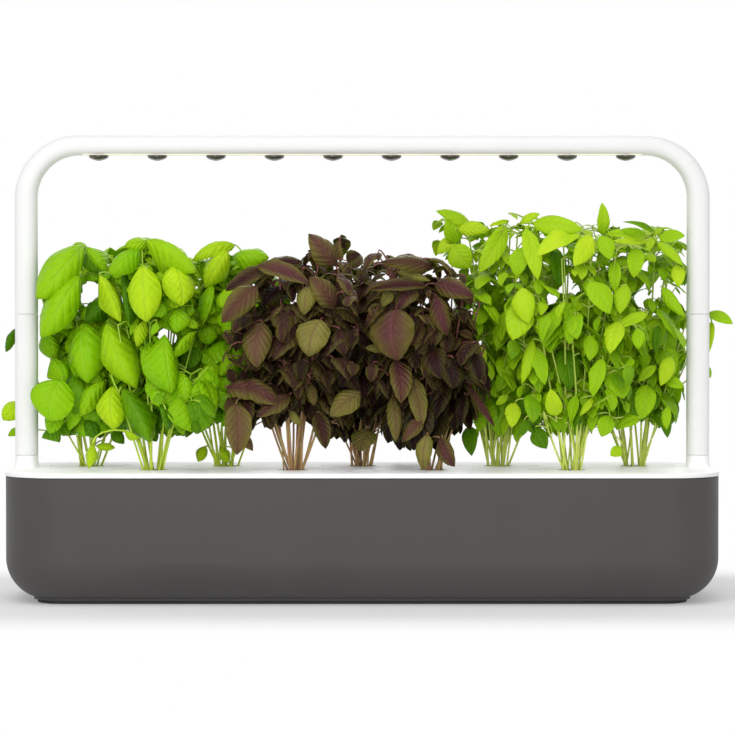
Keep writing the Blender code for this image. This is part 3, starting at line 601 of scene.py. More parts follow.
class Paint(Enum):
    """The finishes of everything that was moulded, drawn or pressed."""

    TANK = Moulding(
        "tank_grey", (0.072, 0.069, 0.067), 0.48, grain=1600, relief=0.05, patches=9, drift=0.05, shine=0.22
    )
    FOOT = Moulding("foot_rubber", (0.024, 0.023, 0.022), 0.72, grain=1200, relief=0.12)
    LID = Moulding("lid_white", (0.92, 0.92, 0.915), 0.42, grain=1500, relief=0.03, drift=0.015, shine=0.3)
    TUBE = Moulding("tube_white", (0.885, 0.885, 0.88), 0.38, grain=700, relief=0.02, drift=0.012, shine=0.25)
    CUP = Moulding("cup_white", (0.90, 0.90, 0.89), 0.48, grain=1500, relief=0.03, drift=0.02)
    FLOAT = Moulding("float_white", (0.80, 0.82, 0.82), 0.40, grain=1200, relief=0.03, drift=0.02)
    LENS = Moulding("lens_smoke", (0.058, 0.053, 0.047), 0.20, grain=500, relief=0.02, drift=0.15, coat=0.5)
    COVER = Moulding("cover_cream", (0.90, 0.84, 0.66), 0.40, grain=900, relief=0.03, patches=40, glow=0.35)
    BOARD = Moulding("board_green", (0.03, 0.16, 0.07), 0.45, grain=500, relief=0.15, patches=160, drift=0.3)
    CONTACT = Moulding("contact_brass", (0.70, 0.50, 0.22), 0.30, metallic=1.0, grain=2000, relief=0.04)
    SCREW = Moulding("screw_steel", (0.55, 0.55, 0.55), 0.35, metallic=1.0, grain=2400, relief=0.05)
    INLET = Moulding("inlet_black", (0.02, 0.02, 0.02), 0.45, grain=1500, relief=0.05, drift=0.1)
    SOIL = Moulding("soil_brown", (0.050, 0.032, 0.018), 0.95, grain=700, relief=0.9, patches=260, drift=0.5)
    WICK = Moulding("wick_felt", (0.62, 0.60, 0.56), 0.95, grain=1100, relief=0.8, patches=120, drift=0.1)


# ---- tank and foot


@dataclass
class WaterTank:
    """The dark water tank on its foot."""

    length: float = 619 * MM
    depth: float = 184 * MM
    wall: float = 3 * MM
    corner: float = 50 * MM
    fillet: float = 36 * MM
    rim_round: float = 0.6 * MM
    foot_corner: float = 24 * MM
    foot_round: float = 0.5 * MM
    notch_half: float = 6 * MM
    lip: float = 2.0 * MM
    fillet_steps: int = 18

    def ring(self, inset: float, z: float) -> Ring:
        """The tank's outline at a height, drawn in by inset."""
        return slab(self.length - 2 * inset, self.depth - 2 * inset, self.corner - inset, z)

    def bowl(self, wall: float, bottom: float) -> list[Ring]:
        """Rings of the rounded bottom edge, from the floor up.

        Args:
            wall: 0 outside, the wall inside.
            bottom: The tank's underside.

        Returns:
            The rings.
        """
        radius = self.fillet - wall
        rings = []
        start = 0.0
        if wall == 0:
            start = math.acos(1 - self.lip / radius)
            rings.append(self.ring(radius * (1 - math.sin(start)), bottom))
        for step in range(self.fillet_steps + 1):
            a = start + step / self.fillet_steps * (math.pi / 2 - start)
            inset = wall + radius * (1 - math.sin(a))
            rings.append(self.ring(inset, bottom + wall + radius * (1 - math.cos(a))))
        return rings

    def build(self, paint: dict[Paint, Material]) -> None:
        """Make the tank and the foot."""
        low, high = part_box("water_tank")
        middle = box_middle("power_inlet")
        rim = self.rim_round
        bm = bmesh.new()
        outside = self.bowl(0, low.z) + [self.ring(0, high.z - rim), self.ring(rim, high.z)]
        inside = [self.ring(self.wall - rim, high.z), self.ring(self.wall, high.z - rim)]
        loft(bm, outside + inside + self.bowl(self.wall, low.z)[::-1])
        notch = bmesh.new()
        bottom = middle.z - self.notch_half
        corner = (middle.x - self.notch_half, high.y - self.wall - 2 * MM, bottom)
        box(notch, corner, (middle.x + self.notch_half, high.y + 2 * MM, high.z + 2 * MM))
        tank = carve(new_piece("tank_blank", bm), [(notch, "DIFFERENCE")], "tank_shell")
        mount(tank, "tank", paint[Paint.TANK], ["water_tank"])
        foot_low, foot_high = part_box("foot_plate")
        bm = bmesh.new()
        size = (foot_high.x - foot_low.x, foot_high.y - foot_low.y)
        edge = self.foot_round
        levels = ((edge, foot_low.z), (0, foot_low.z + edge), (0, foot_high.z))
        rings = [slab(size[0] - 2 * i, size[1] - 2 * i, self.foot_corner - i, z) for i, z in levels]
        loft(bm, rings)
        mount(new_piece("foot_band", bm), "tank", paint[Paint.FOOT], ["foot_plate"])


# ---- posts


@dataclass
class Post:
    """The rounded section that the stubs, the arms and the lamp's legs share."""

    half_width: float = 10 * MM
    half_depth: float = 11 * MM
    wall: float = 2.5 * MM
    power: float = 2.5
    steps: int = 56
    edge: float = 0.3 * MM
    spigot: float = 2.8 * MM
    bore: float = 5 * MM
    spigot_length: float = 20 * MM
    shoulder: float = 2.5 * MM

    def shares(self) -> list[Point2]:
        """Unit points of the section."""
        shares = []
        for i in range(self.steps):
            a = math.tau * i / self.steps
            across = math.copysign(abs(math.cos(a)) ** (2 / self.power), math.cos(a))
            along = math.copysign(abs(math.sin(a)) ** (2 / self.power), math.sin(a))
            shares.append((across, along))
        return shares

    def ring(self, inset: float, z: float, x: float) -> Ring:
        """The section at a height, drawn in by inset."""
        width, depth = self.half_width - inset, self.half_depth - inset
        return [Vector((x + u * width, v * depth, z)) for u, v in self.shares()]


# ---- lid


@dataclass
class Lid:
    """The white lid with its pod seats, post stubs, float and inlet."""

    post: Post
    tank: WaterTank
    thickness: float = 4 * MM
    overhang: float = 0.5 * MM
    edge: float = 1.2 * MM
    skirt_depth: float = 10 * MM
    skirt_wall: float = 2 * MM
    gap: float = 0.3 * MM
    run: float = 0.5 * MM
    recess: float = 1.5 * MM
    seat_radius: float = 36 * MM
    cup_radius: float = 17.5 * MM
    stub_height: float = 11.3 * MM
    flare_width: float = 2.8 * MM
    flare_height: float = 7 * MM
    socket_wall: float = 1.4 * MM
    socket_floor: float = 2 * MM
    guide_radius: float = 15 * MM
    guide_wall: float = 1.6 * MM
    guide_flange: float = 3.5 * MM
    guide_lip: float = 3.4 * MM
    steps: int = 72

    def plate(self, bottom: float) -> BMesh:
        """The flat plate with its rounded edge."""
        length, depth = self.tank.length + 2 * self.overhang, self.tank.depth + 2 * self.overhang
        corner = self.tank.corner + self.overhang
        under = 0.4 * MM
        rings = [slab(length - 2 * under, depth - 2 * under, corner - under, bottom)]
        rings.append(slab(length, depth, corner, bottom + under))
        for step in range(7):
            a = step / 6 * math.pi / 2
            inset = self.edge * (1 - math.cos(a))
            z = bottom + self.thickness - self.edge + self.edge * math.sin(a)
            rings.append(slab(length - 2 * inset, depth - 2 * inset, corner - inset, z))
        bm = lofted(rings)
        return bm

    def socket_bottom(self, bottom: float) -> float:
        """Height of the floor of the arms' sockets."""
        return bottom + self.thickness + self.stub_height - self.post.spigot_length - 1 * MM

    def additions(self, bottom: float, posts: Sequence[float]) -> BMesh:
        """The skirt and the post stubs.

        Args:
            bottom: The lid's underside.
            posts: The posts' middles along X.

        Returns:
            Their mesh.
        """
        bm = bmesh.new()
        weld = 1 * MM
        outer = self.tank.wall + self.run
        inner = outer + self.skirt_wall
        levels = ((outer, -self.skirt_depth), (outer, weld), (inner, weld), (inner, -self.skirt_depth))
        loft(bm, [self.tank.ring(inset, bottom + z) for inset, z in levels], hollow=True)
        boss = self.post.wall - self.socket_wall
        low = self.socket_bottom(bottom) - self.socket_floor
        for x in posts:
            rings = [self.post.ring(boss, z, x) for z in (low, bottom + weld)]
            rings.append(self.post.ring(-self.flare_width, bottom + weld, x))
            for step in range(13):
                a = step / 12 * math.pi / 2
                z = bottom + self.thickness + self.flare_height * (1 - math.cos(a))
                rings.append(self.post.ring(-self.flare_width * (1 - math.sin(a)), z, x))
            top = bottom + self.thickness + self.stub_height
            rings.append(self.post.ring(0, top - self.post.edge, x))
            rings.append(self.post.ring(self.post.edge, top, x))
            loft(bm, rings)
        return bm

    def openings(self, bottom: float, posts: Sequence[float], seats: Sequence[Point2]) -> BMesh:
        """Pod seats, the fill port, the sockets, the pin hole and the cut for the inlet.

        Args:
            bottom: The lid's underside.
            posts: The posts' middles along X.
            seats: The pods' middles in plan.

        Returns:
            The cutter's mesh.
        """
        bm = bmesh.new()
        seat = bottom + self.thickness - self.recess
        above = bottom + self.thickness + 2 * MM
        holes = [(place, self.cup_radius + self.run, self.seat_radius) for place in seats]
        port = box_middle("float_guide")
        hole = self.guide_radius + self.run
        holes.append(((port.x, port.y), hole, hole + self.guide_flange))
        for place, hole, recess in holes:
            profile = ((hole, bottom - 2 * MM), (hole, seat), (recess, seat), (recess, above))
            turned(bm, profile, self.steps, place)
        top = bottom + self.thickness + self.stub_height + 2 * MM
        floor = self.socket_bottom(bottom)
        for x in posts:
            rings = [self.post.ring(self.post.wall, z, x) for z in (floor, top)]
            if x > 0:
                pin = circle(2.2 * MM, floor, self.post.steps, (x, 0))
                pin_low = circle(2.2 * MM, floor - self.socket_floor - 2 * MM, self.post.steps, (x, 0))
                rings = [pin_low, pin] + rings
            loft(bm, rings)
        middle = box_middle("power_inlet")
        half = self.tank.notch_half
        low_y = self.tank.depth / 2 - self.tank.wall - self.skirt_wall - 2 * MM
        corner = (middle.x - half, low_y, bottom - self.skirt_depth - 8 * MM)
        box(bm, corner, (middle.x + half, self.tank.depth / 2 - self.tank.wall + 2 * MM, bottom - self.gap))
        return bm

    def build(self, paint: dict[Paint, Material], seats: Sequence[Point2]) -> None:
        """Make the lid, the float with its guide and the inlet."""
        bottom = LID_TOP - self.thickness
        posts = [arm_middle(side) for side in ("left", "right")]
        cuts = [(self.additions(bottom, posts), "UNION"), (self.openings(bottom, posts, seats), "DIFFERENCE")]
        lid = carve(new_piece("lid_blank", self.plate(bottom)), cuts, "lid_cover")
        mount(lid, "lid", paint[Paint.LID], ["lid_tray"])
        self.build_float(paint)
        self.build_inlet(paint)

    def build_float(self, paint: dict[Paint, Material]) -> None:
        """Make the float and the guide tube that it rises in."""
        low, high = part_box("float_guide")
        place = ((low.x + high.x) / 2, (low.y + high.y) / 2)
        inner = self.guide_radius - self.guide_wall
        flange = self.guide_radius + self.guide_flange
        seat = high.z - self.recess + self.gap
        soft = 0.3 * MM
        profile = [(self.guide_radius, low.z), (self.guide_radius, seat), (flange, seat), (flange, high.z - soft)]
        profile += [(flange - soft, high.z), (inner + soft, high.z), (inner, high.z - soft)]
        profile += [(inner, low.z + self.guide_wall), (inner - self.guide_lip, low.z + self.guide_wall)]
        profile += [(inner - self.guide_lip, low.z)]
        bm = lathed(profile, self.steps, place, hollow=True)
        window = bmesh.new()
        reach = self.guide_radius + 2 * MM
        corner = (place[0] - 4 * MM, place[1] - reach, low.z + 3.2 * MM)
        box(window, corner, (place[0] + 4 * MM, place[1] + reach, low.z + 17.2 * MM))
        guide = carve(new_piece("guide_blank", bm), [(window, "DIFFERENCE")], "float_tube")
        mount(guide, "lid", paint[Paint.CUP], ["float_guide"])
        low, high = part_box("float_indicator")
        radius = (high.x - low.x) / 2
        edge = 3 * MM
        profile = []
        for step in range(7):
            a = step / 6 * math.pi / 2
            profile.append((radius - edge * (1 - math.sin(a)), low.z + edge * (1 - math.cos(a))))
        profile += [(r, high.z + low.z - z) for r, z in profile[::-1]]
        dimple = [(radius * 0.45, high.z), (radius * 0.40, high.z - 0.8 * MM)]
        bm = lathed(profile + dimple, self.steps, place)
        mount(new_piece("float_body", bm), "float", paint[Paint.FLOAT], ["float_indicator"])

    def build_inlet(self, paint: dict[Paint, Material]) -> None:
        """Make the round power socket that faces backwards, with its centre contact."""
        low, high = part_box("power_inlet")
        middle = (low + high) / 2
        radius = (high.x - low.x) / 2
        hole, edge = 3 * MM, 0.5 * MM
        profile = [(radius, low.y), (radius, high.y - edge), (radius - edge, high.y), (hole + edge, high.y)]
        profile += [(hole, high.y - edge), (hole, high.y - 10 * MM), (0.8 * MM, high.y - 10 * MM)]
        profile += [(0.8 * MM, high.y - 3 * MM), (0.4 * MM, high.y - 2.6 * MM)]
        bm = bmesh.new()
        rings = []
        for r, y in profile:
            points = circle(r, 0, self.steps // 2)
            rings.append([Vector((middle.x + p.x, y, middle.z + p.y)) for p in points])
        loft(bm, rings)
        mount(new_piece("inlet_socket", bm), "lid", paint[Paint.INLET], ["power_inlet"])


def arm_middle(side: str) -> float:
    """The middle of an extension arm along X."""
    return box_middle(f"extension_arm_{side}").x


# ---- lamp


@dataclass
class Lamp:
    """The extension arms and the lamp arch with its cover and lenses."""

    post: Post
    bend_radius: float = 47 * MM
    bar_half_height: float = 9 * MM
    slot_width: float = 13 * MM
    bend_steps: int = 26
    lens_steps: int = 40
    lens_rim: float = 0.8 * MM
    lens_skirt: float = 0.8 * MM
    gap: float = 0.3 * MM

    def build_arms(self, paint: dict[Paint, Material]) -> None:
        """Make the two extension arms."""
        post = self.post
        for side in ("left", "right"):
            low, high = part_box(f"extension_arm_{side}")
            x = (low.x + high.x) / 2
            seat = low.z + post.spigot_length + self.gap
            rings = [post.ring(post.spigot, low.z, x), post.ring(post.spigot, seat, x)]
            rings += [post.ring(post.edge, seat, x), post.ring(0, seat + post.edge, x)]
            rings += [post.ring(0, high.z - post.edge, x), post.ring(post.edge, high.z, x)]
            rings += [post.ring(post.wall, high.z, x), post.ring(post.wall, seat + 2 * post.shoulder, x)]
            rings += [post.ring(post.bore, seat + post.shoulder, x), post.ring(post.bore, low.z, x)]
            bm = lofted(rings, hollow=True)
            arm = new_piece(f"arm_tube_{side}", bm)
            mount(arm, f"extension_{side}", paint[Paint.TUBE], [f"extension_arm_{side}"])

    def section(self, x: float, z: float, turn: float, half_width: float, half_depth: float) -> Ring:
        """A section of the arch; turn is 0 on the left leg and pi on the right one."""
        across = Vector((-math.cos(turn), 0, math.sin(turn))) * half_width
        along = Vector((0, half_depth, 0))
        return [Vector((x, 0, z)) + across * u + along * v for u, v in self.post.shares()]

    def bends(self, wall: float, post_x: float, bar_z: float) -> list[Ring]:
        """Rings round both bends; wall is 0 outside."""
        rings = []
        for side, start in ((-1, 0.0), (1, math.pi / 2)):
            for step in range(self.bend_steps + 1):
                turn = start + step / self.bend_steps * math.pi / 2
                x = side * (post_x - self.bend_radius) - self.bend_radius * math.cos(turn)
                z = bar_z - self.bend_radius * (1 - math.sin(turn))
                widen = (self.bar_half_height - self.post.half_width) * math.sin(turn)
                half = self.post.half_width + widen
                rings.append(self.section(x, z, turn, half - wall, self.post.half_depth - wall))
        return rings

    def legs(self, side: int, post_x: float, levels: Sequence[Point2]) -> list[Ring]:
        """Rings of one leg at (inset, height) levels."""
        turn = 0.0 if side < 0 else math.pi
        post = self.post
        return [
            self.section(side * post_x, z, turn, post.half_width - inset, post.half_depth - inset)
            for inset, z in levels
        ]

    def build(self, paint: dict[Paint, Material]) -> None:
        """Make the arms, the arch, the cover and the lenses."""
        self.build_arms(paint)
        post = self.post
        low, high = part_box("lamp_arch")
        cover_low, cover_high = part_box("led_cover")
        post_x = (high.x - low.x) / 2 - post.half_width
        bar_z = high.z - self.bar_half_height
        seat = low.z + post.spigot_length + self.gap
        outside = ((post.spigot, low.z), (post.spigot, seat), (post.edge, seat), (0, seat + post.edge))
        inside = ((post.bore, low.z), (post.bore, seat + post.shoulder), (post.wall, seat + 2 * post.shoulder))
        rings = self.legs(-1, post_x, outside) + self.bends(0, post_x, bar_z)
        rings += self.legs(1, post_x, outside[::-1]) + self.legs(1, post_x, inside)
        rings += self.bends(post.wall, post_x, bar_z)[::-1] + self.legs(-1, post_x, inside[::-1])
        bm = lofted(rings, hollow=True)
        slot = bmesh.new()
        half = cover_high.x + self.gap
        bottom = bar_z - self.bar_half_height
        corner = (-half, -self.slot_width / 2, bottom - 2 * MM)
        box(slot, corner, (half, self.slot_width / 2, bottom + 2 * post.wall))
        arch = carve(new_piece("arch_blank", bm), [(slot, "DIFFERENCE")], "arch_tube")
        mount(arch, "lamp", paint[Paint.TUBE], ["lamp_arch"])
        self.build_cover(paint, cover_low, cover_high)
        self.build_lenses(paint)

    def build_cover(self, paint: dict[Paint, Material], low: Vector, high: Vector) -> None:
        """Make the ribbed cream cover that closes the slot."""
        bm = bmesh.new()
        half = (high.y - low.y) / 2
        rib = 0.25 * MM
        outline = [(-half, high.z), (-half, low.z + rib)]
        ribs = 10
        for i in range(ribs):
            y = -half + (i + 0.5) * 2 * half / ribs
            outline.append((y, low.z + rib * (i % 2)))
        outline += [(half, low.z + rib), (half, high.z)]
        loft(bm, [[Vector((x, y, z)) for y, z in outline] for x in (low.x, high.x)])
        mount(new_piece("cover_strip", bm), "lamp", paint[Paint.COVER], ["led_cover"])

    def build_lenses(self, paint: dict[Paint, Material]) -> None:
        """Make the row of lenses with Geometry Nodes, from one lens that repeats along the bar."""
        names = [f"lens_{i + 1}" for i in range(10)]
        first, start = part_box(names[0]), box_middle(names[0])
        pitch = (box_middle(names[-1]) - start) / (len(names) - 1)
        radius = (first[1].x - first[0].x) / 2 + self.lens_skirt
        drop = first[1].z - first[0].z - self.lens_rim
        profile = [(radius - 0.2 * MM, 0), (radius, -0.2 * MM), (radius, -self.lens_rim)]
        for step in range(1, 12):
            fall = step / 12
            profile.append((radius * (1 - fall ** 2) ** 0.75, -self.lens_rim - drop * fall))
        profile.append((radius * 0.04, -self.lens_rim - drop))
        bm = lathed(profile, self.lens_steps)
        lens = new_piece("lens_blank", bm)
        row = build_row_tree()
        row_start = (start.x, start.y, first[1].z)
        values = {"Piece": lens, "Count": len(names), "Start": row_start, "Step": tuple(pitch)}
        values["Finish"] = paint[Paint.LENS]
        mesh = run_tree(row, values, "lens_row")
        bpy.data.objects.remove(lens, do_unlink=True)
        mount(show("lens_row", mesh), "lamp", paint[Paint.LENS], names)


def geometry_tree(name: str, sockets: Sequence[tuple[str, str]]) -> tuple[Tree, Any]:
    """A Geometry Nodes tree with a geometry socket in and out, and named inputs.

    Args:
        name: The tree's name.
        sockets: Name and type of each further input.

    Returns:
        The tree and the outputs of its inputs.
    """
    group = bpy.data.node_groups.new(name, "GeometryNodeTree")
    group.interface.new_socket(name="Geometry", in_out="OUTPUT", socket_type="NodeSocketGeometry")
    group.interface.new_socket(name="Geometry", in_out="INPUT", socket_type="NodeSocketGeometry")
    for socket_name, kind in sockets:
        group.interface.new_socket(name=socket_name, in_out="INPUT", socket_type=kind)
    tree = Tree(group)
    return tree, tree.add("NodeGroupInput").outputs


def close_tree(tree: Tree, geometry: NodeSocket, start: Any) -> NodeTree:
    """Give a tree's geometry its finish and bring it out."""
    done = tree.add("GeometryNodeSetMaterial", {"Geometry": geometry, "Material": start["Finish"]})
    tree.add("NodeGroupOutput", {0: done.outputs[0]})
    return tree.tree


def run_tree(
    group: NodeTree, values: dict[str, Any], name: str, base: Mesh | None = None
) -> Mesh:
    """Run a Geometry Nodes tree once and keep its result as a plain mesh.

    Args:
        group: The tree.
        values: Its inputs by name.
        name: The result's name.
        base: The mesh that goes in, or none.

    Returns:
        The realised mesh.
    """
    carrier = bpy.data.objects.new(f"{name}_carrier", base or bpy.data.meshes.new(f"{name}_base"))
    bpy.context.scene.collection.objects.link(carrier)
    modifier = carrier.modifiers.new("grow", "NODES")
    modifier.node_group = group
    for item in group.interface.items_tree:
        if item.in_out == "INPUT" and item.name in values:
            modifier[item.identifier] = values[item.name]
    return plain_copy(carrier, name)


def build_row_tree() -> NodeTree:
    """A tree that repeats one piece along a line."""
    sockets = (
        ("Piece", "NodeSocketObject"),
        ("Count", "NodeSocketInt"),
        ("Start", "NodeSocketVector"),
        ("Step", "NodeSocketVector"),
        ("Finish", "NodeSocketMaterial"),
    )
    tree, start = geometry_tree("Row of pieces", sockets)
    inputs = {"Count": start["Count"], "Start Location": start["Start"], "Offset": start["Step"]}
    line = tree.add("GeometryNodeMeshLine", inputs, mode="OFFSET")
    info = tree.add("GeometryNodeObjectInfo", {"Object": start["Piece"]})
    spread = {"Points": line.outputs[0], "Instance": info.outputs["Geometry"]}
    copies = tree.add("GeometryNodeInstanceOnPoints", spread)
    real = tree.add("GeometryNodeRealizeInstances", {0: copies.outputs[0]})
    return close_tree(tree, real.outputs[0], start)


# ---- pods


def build_soil_tree() -> NodeTree:
    """A tree that strews crumbs over a growth plug's upper face."""
    sockets = (
        ("Crumb", "NodeSocketObject"),
        ("Density", "NodeSocketFloat"),
        ("Seed", "NodeSocketInt"),
        ("Smallest", "NodeSocketFloat"),
        ("Largest", "NodeSocketFloat"),
        ("Finish", "NodeSocketMaterial"),
    )
    tree, start = geometry_tree("Crumbs on a plug", sockets)
    facing = tree.add("ShaderNodeSeparateXYZ", {0: tree.add("GeometryNodeInputNormal").outputs[0]}).outputs[2]
    upper = tree.math("GREATER_THAN", facing, 0.8)
    strew = {"Mesh": start["Geometry"], "Selection": upper, "Density": start["Density"], "Seed": start["Seed"]}
    points = tree.add("GeometryNodeDistributePointsOnFaces", strew)
    turn = tree.add("FunctionNodeRandomValue", {1: (math.tau,) * 3, 8: start["Seed"]}, data_type="FLOAT_VECTOR")
    size = {2: start["Smallest"], 3: start["Largest"], 8: start["Seed"]}
    scale = tree.add("FunctionNodeRandomValue", size, data_type="FLOAT")
    crumb = tree.add("GeometryNodeObjectInfo", {"Object": start["Crumb"]}).outputs["Geometry"]
    spin = tree.add("FunctionNodeEulerToRotation", {0: turn.outputs[0]}).outputs[0]
    spread = {"Points": points.outputs[0], "Instance": crumb, "Rotation": spin, "Scale": scale.outputs[1]}
    crumbs = tree.add("GeometryNodeInstanceOnPoints", spread)
    real = tree.add("GeometryNodeRealizeInstances", {0: crumbs.outputs[0]})
    joined = tree.add("GeometryNodeJoinGeometry")
    tree.link(real.outputs[0], joined.inputs[0])
    tree.link(start["Geometry"], joined.inputs[0])
    return close_tree(tree, joined.outputs[0], start)


@dataclass
class Pods:
    """Nine plant cups with their growth plugs and wicks."""

    cup_radius: float = 17.5 * MM
    base_radius: float = 14 * MM
    wall: float = 1.5 * MM
    depth: float = 50 * MM
    mouth: float = 13 * MM
    flange_radius: float = 35.5 * MM
    flange: float = 1.2 * MM
    soft: float = 0.25 * MM
    run: float = 0.5 * MM
    plug_drop: float = 3 * MM
    plug_below: float = 2 * MM
    wick_width: float = 8 * MM
    wick_thickness: float = 2 * MM
    wick_low: float = 12 * MM
    crumb_radius: float = 1 * MM
    crumbs: float = 900000.0
    steps: int = 72

    def place(self, number: int) -> Point2:
        """The middle of a pod in plan."""
        middle = box_middle(f"pod_cup_{number}")
        return (middle.x, middle.y)

    def cup(self, place: Point2) -> BMesh:
        """A tapered cup below a wide flange that lies flush with the lid."""
        hole, soft = self.wick_width / 2 + 2 * self.run, self.soft
        base, inner = self.base_radius, self.cup_radius - self.wall
        profile = [(hole, -self.depth), (base - 3 * soft, -self.depth), (base, -self.depth + 3 * soft)]
        profile += [(self.cup_radius, -self.flange), (self.flange_radius, -self.flange)]
        profile += [(self.flange_radius, -soft), (self.flange_radius - soft, 0)]
        profile += [(self.mouth + 2 * soft, 0), (self.mouth, -2 * soft), (self.mouth, -self.flange)]
        profile += [(inner, -self.flange - self.wall), (base - self.wall, -self.depth + self.wall)]
        profile += [(hole, -self.depth + self.wall)]
        bm = lathed([(radius, LID_TOP + z) for radius, z in profile], self.steps, place, hollow=True)
        return bm

    def plug(self, place: Point2) -> BMesh:
        """The plug of soil that fills the cup, gently crowned."""
        low = LID_TOP - self.depth + self.wall + 0.3 * MM
        base, mouth = self.base_radius - self.wall - self.run, self.mouth - self.run
        top = LID_TOP - self.plug_drop
        profile = [(base, low), (mouth, top - self.plug_below), (mouth, top - 0.6 * MM)]
        profile += [(mouth * 0.92, top - 0.1 * MM), (mouth * 0.5, top), (mouth * 0.02, top + 0.1 * MM)]
        bm = lathed(profile, self.steps // 2, place)
        return bm

    def wick(self, place: Point2) -> BMesh:
        """The flat felt wick, from the plug down into the water."""
        high = LID_TOP - self.depth + self.wall
        half, thin = self.wick_width / 2, self.wick_thickness / 2
        levels = 24
        bm = bmesh.new()
        rings = []
        for step in range(levels + 1):
            z = self.wick_low + (high - self.wick_low) * step / levels
            rings.append([p + Vector((*place, 0)) for p in slab(2 * half, 2 * thin, 0.9 * thin, z, 3)])
        loft(bm, rings)
        return bm

    def build(self, paint: dict[Paint, Material]) -> None:
        """Make every cup, plug and wick."""
        crumb_mesh = bmesh.new()
        bmesh.ops.create_icosphere(crumb_mesh, subdivisions=1, radius=self.crumb_radius)
        for vert in crumb_mesh.verts:
            vert.co *= 1 + 0.5 * noise.noise(vert.co * 1700)
        crumb = new_piece("crumb_blank", crumb_mesh)
        tree = build_soil_tree()
        for number in range(1, POD_COUNT + 1):
            place, body = self.place(number), f"pod_{number}"
            cup = new_piece(f"cup_{number}", self.cup(place))
            mount(cup, body, paint[Paint.CUP], [f"pod_cup_{number}"])
            blank = new_piece(f"plug_blank_{number}", self.plug(place))
            base = blank.data
            bpy.data.objects.remove(blank, do_unlink=True)
            values = {"Crumb": crumb, "Density": self.crumbs, "Seed": number, "Smallest": 0.35, "Largest": 0.95}
            values["Finish"] = paint[Paint.SOIL]
            soil = show(f"plug_{number}", run_tree(tree, values, f"plug_{number}", base))
            mount(soil, body, paint[Paint.SOIL], [f"growth_plug_{number}"])
            wick = new_piece(f"wick_{number}", self.wick(place))
            mount(wick, body, paint[Paint.WICK], [f"growth_plug_{number}"])
        bpy.data.objects.remove(crumb, do_unlink=True)


# ---- herbs


@dataclass(frozen=True)
class Mood:
    """How one leaf of a kind differs from the next: its arch, curl, fold, twist, sway and wave."""

    arch: float
    curl: float
    fold: float
    twist: float
    sway: float
    wave: float


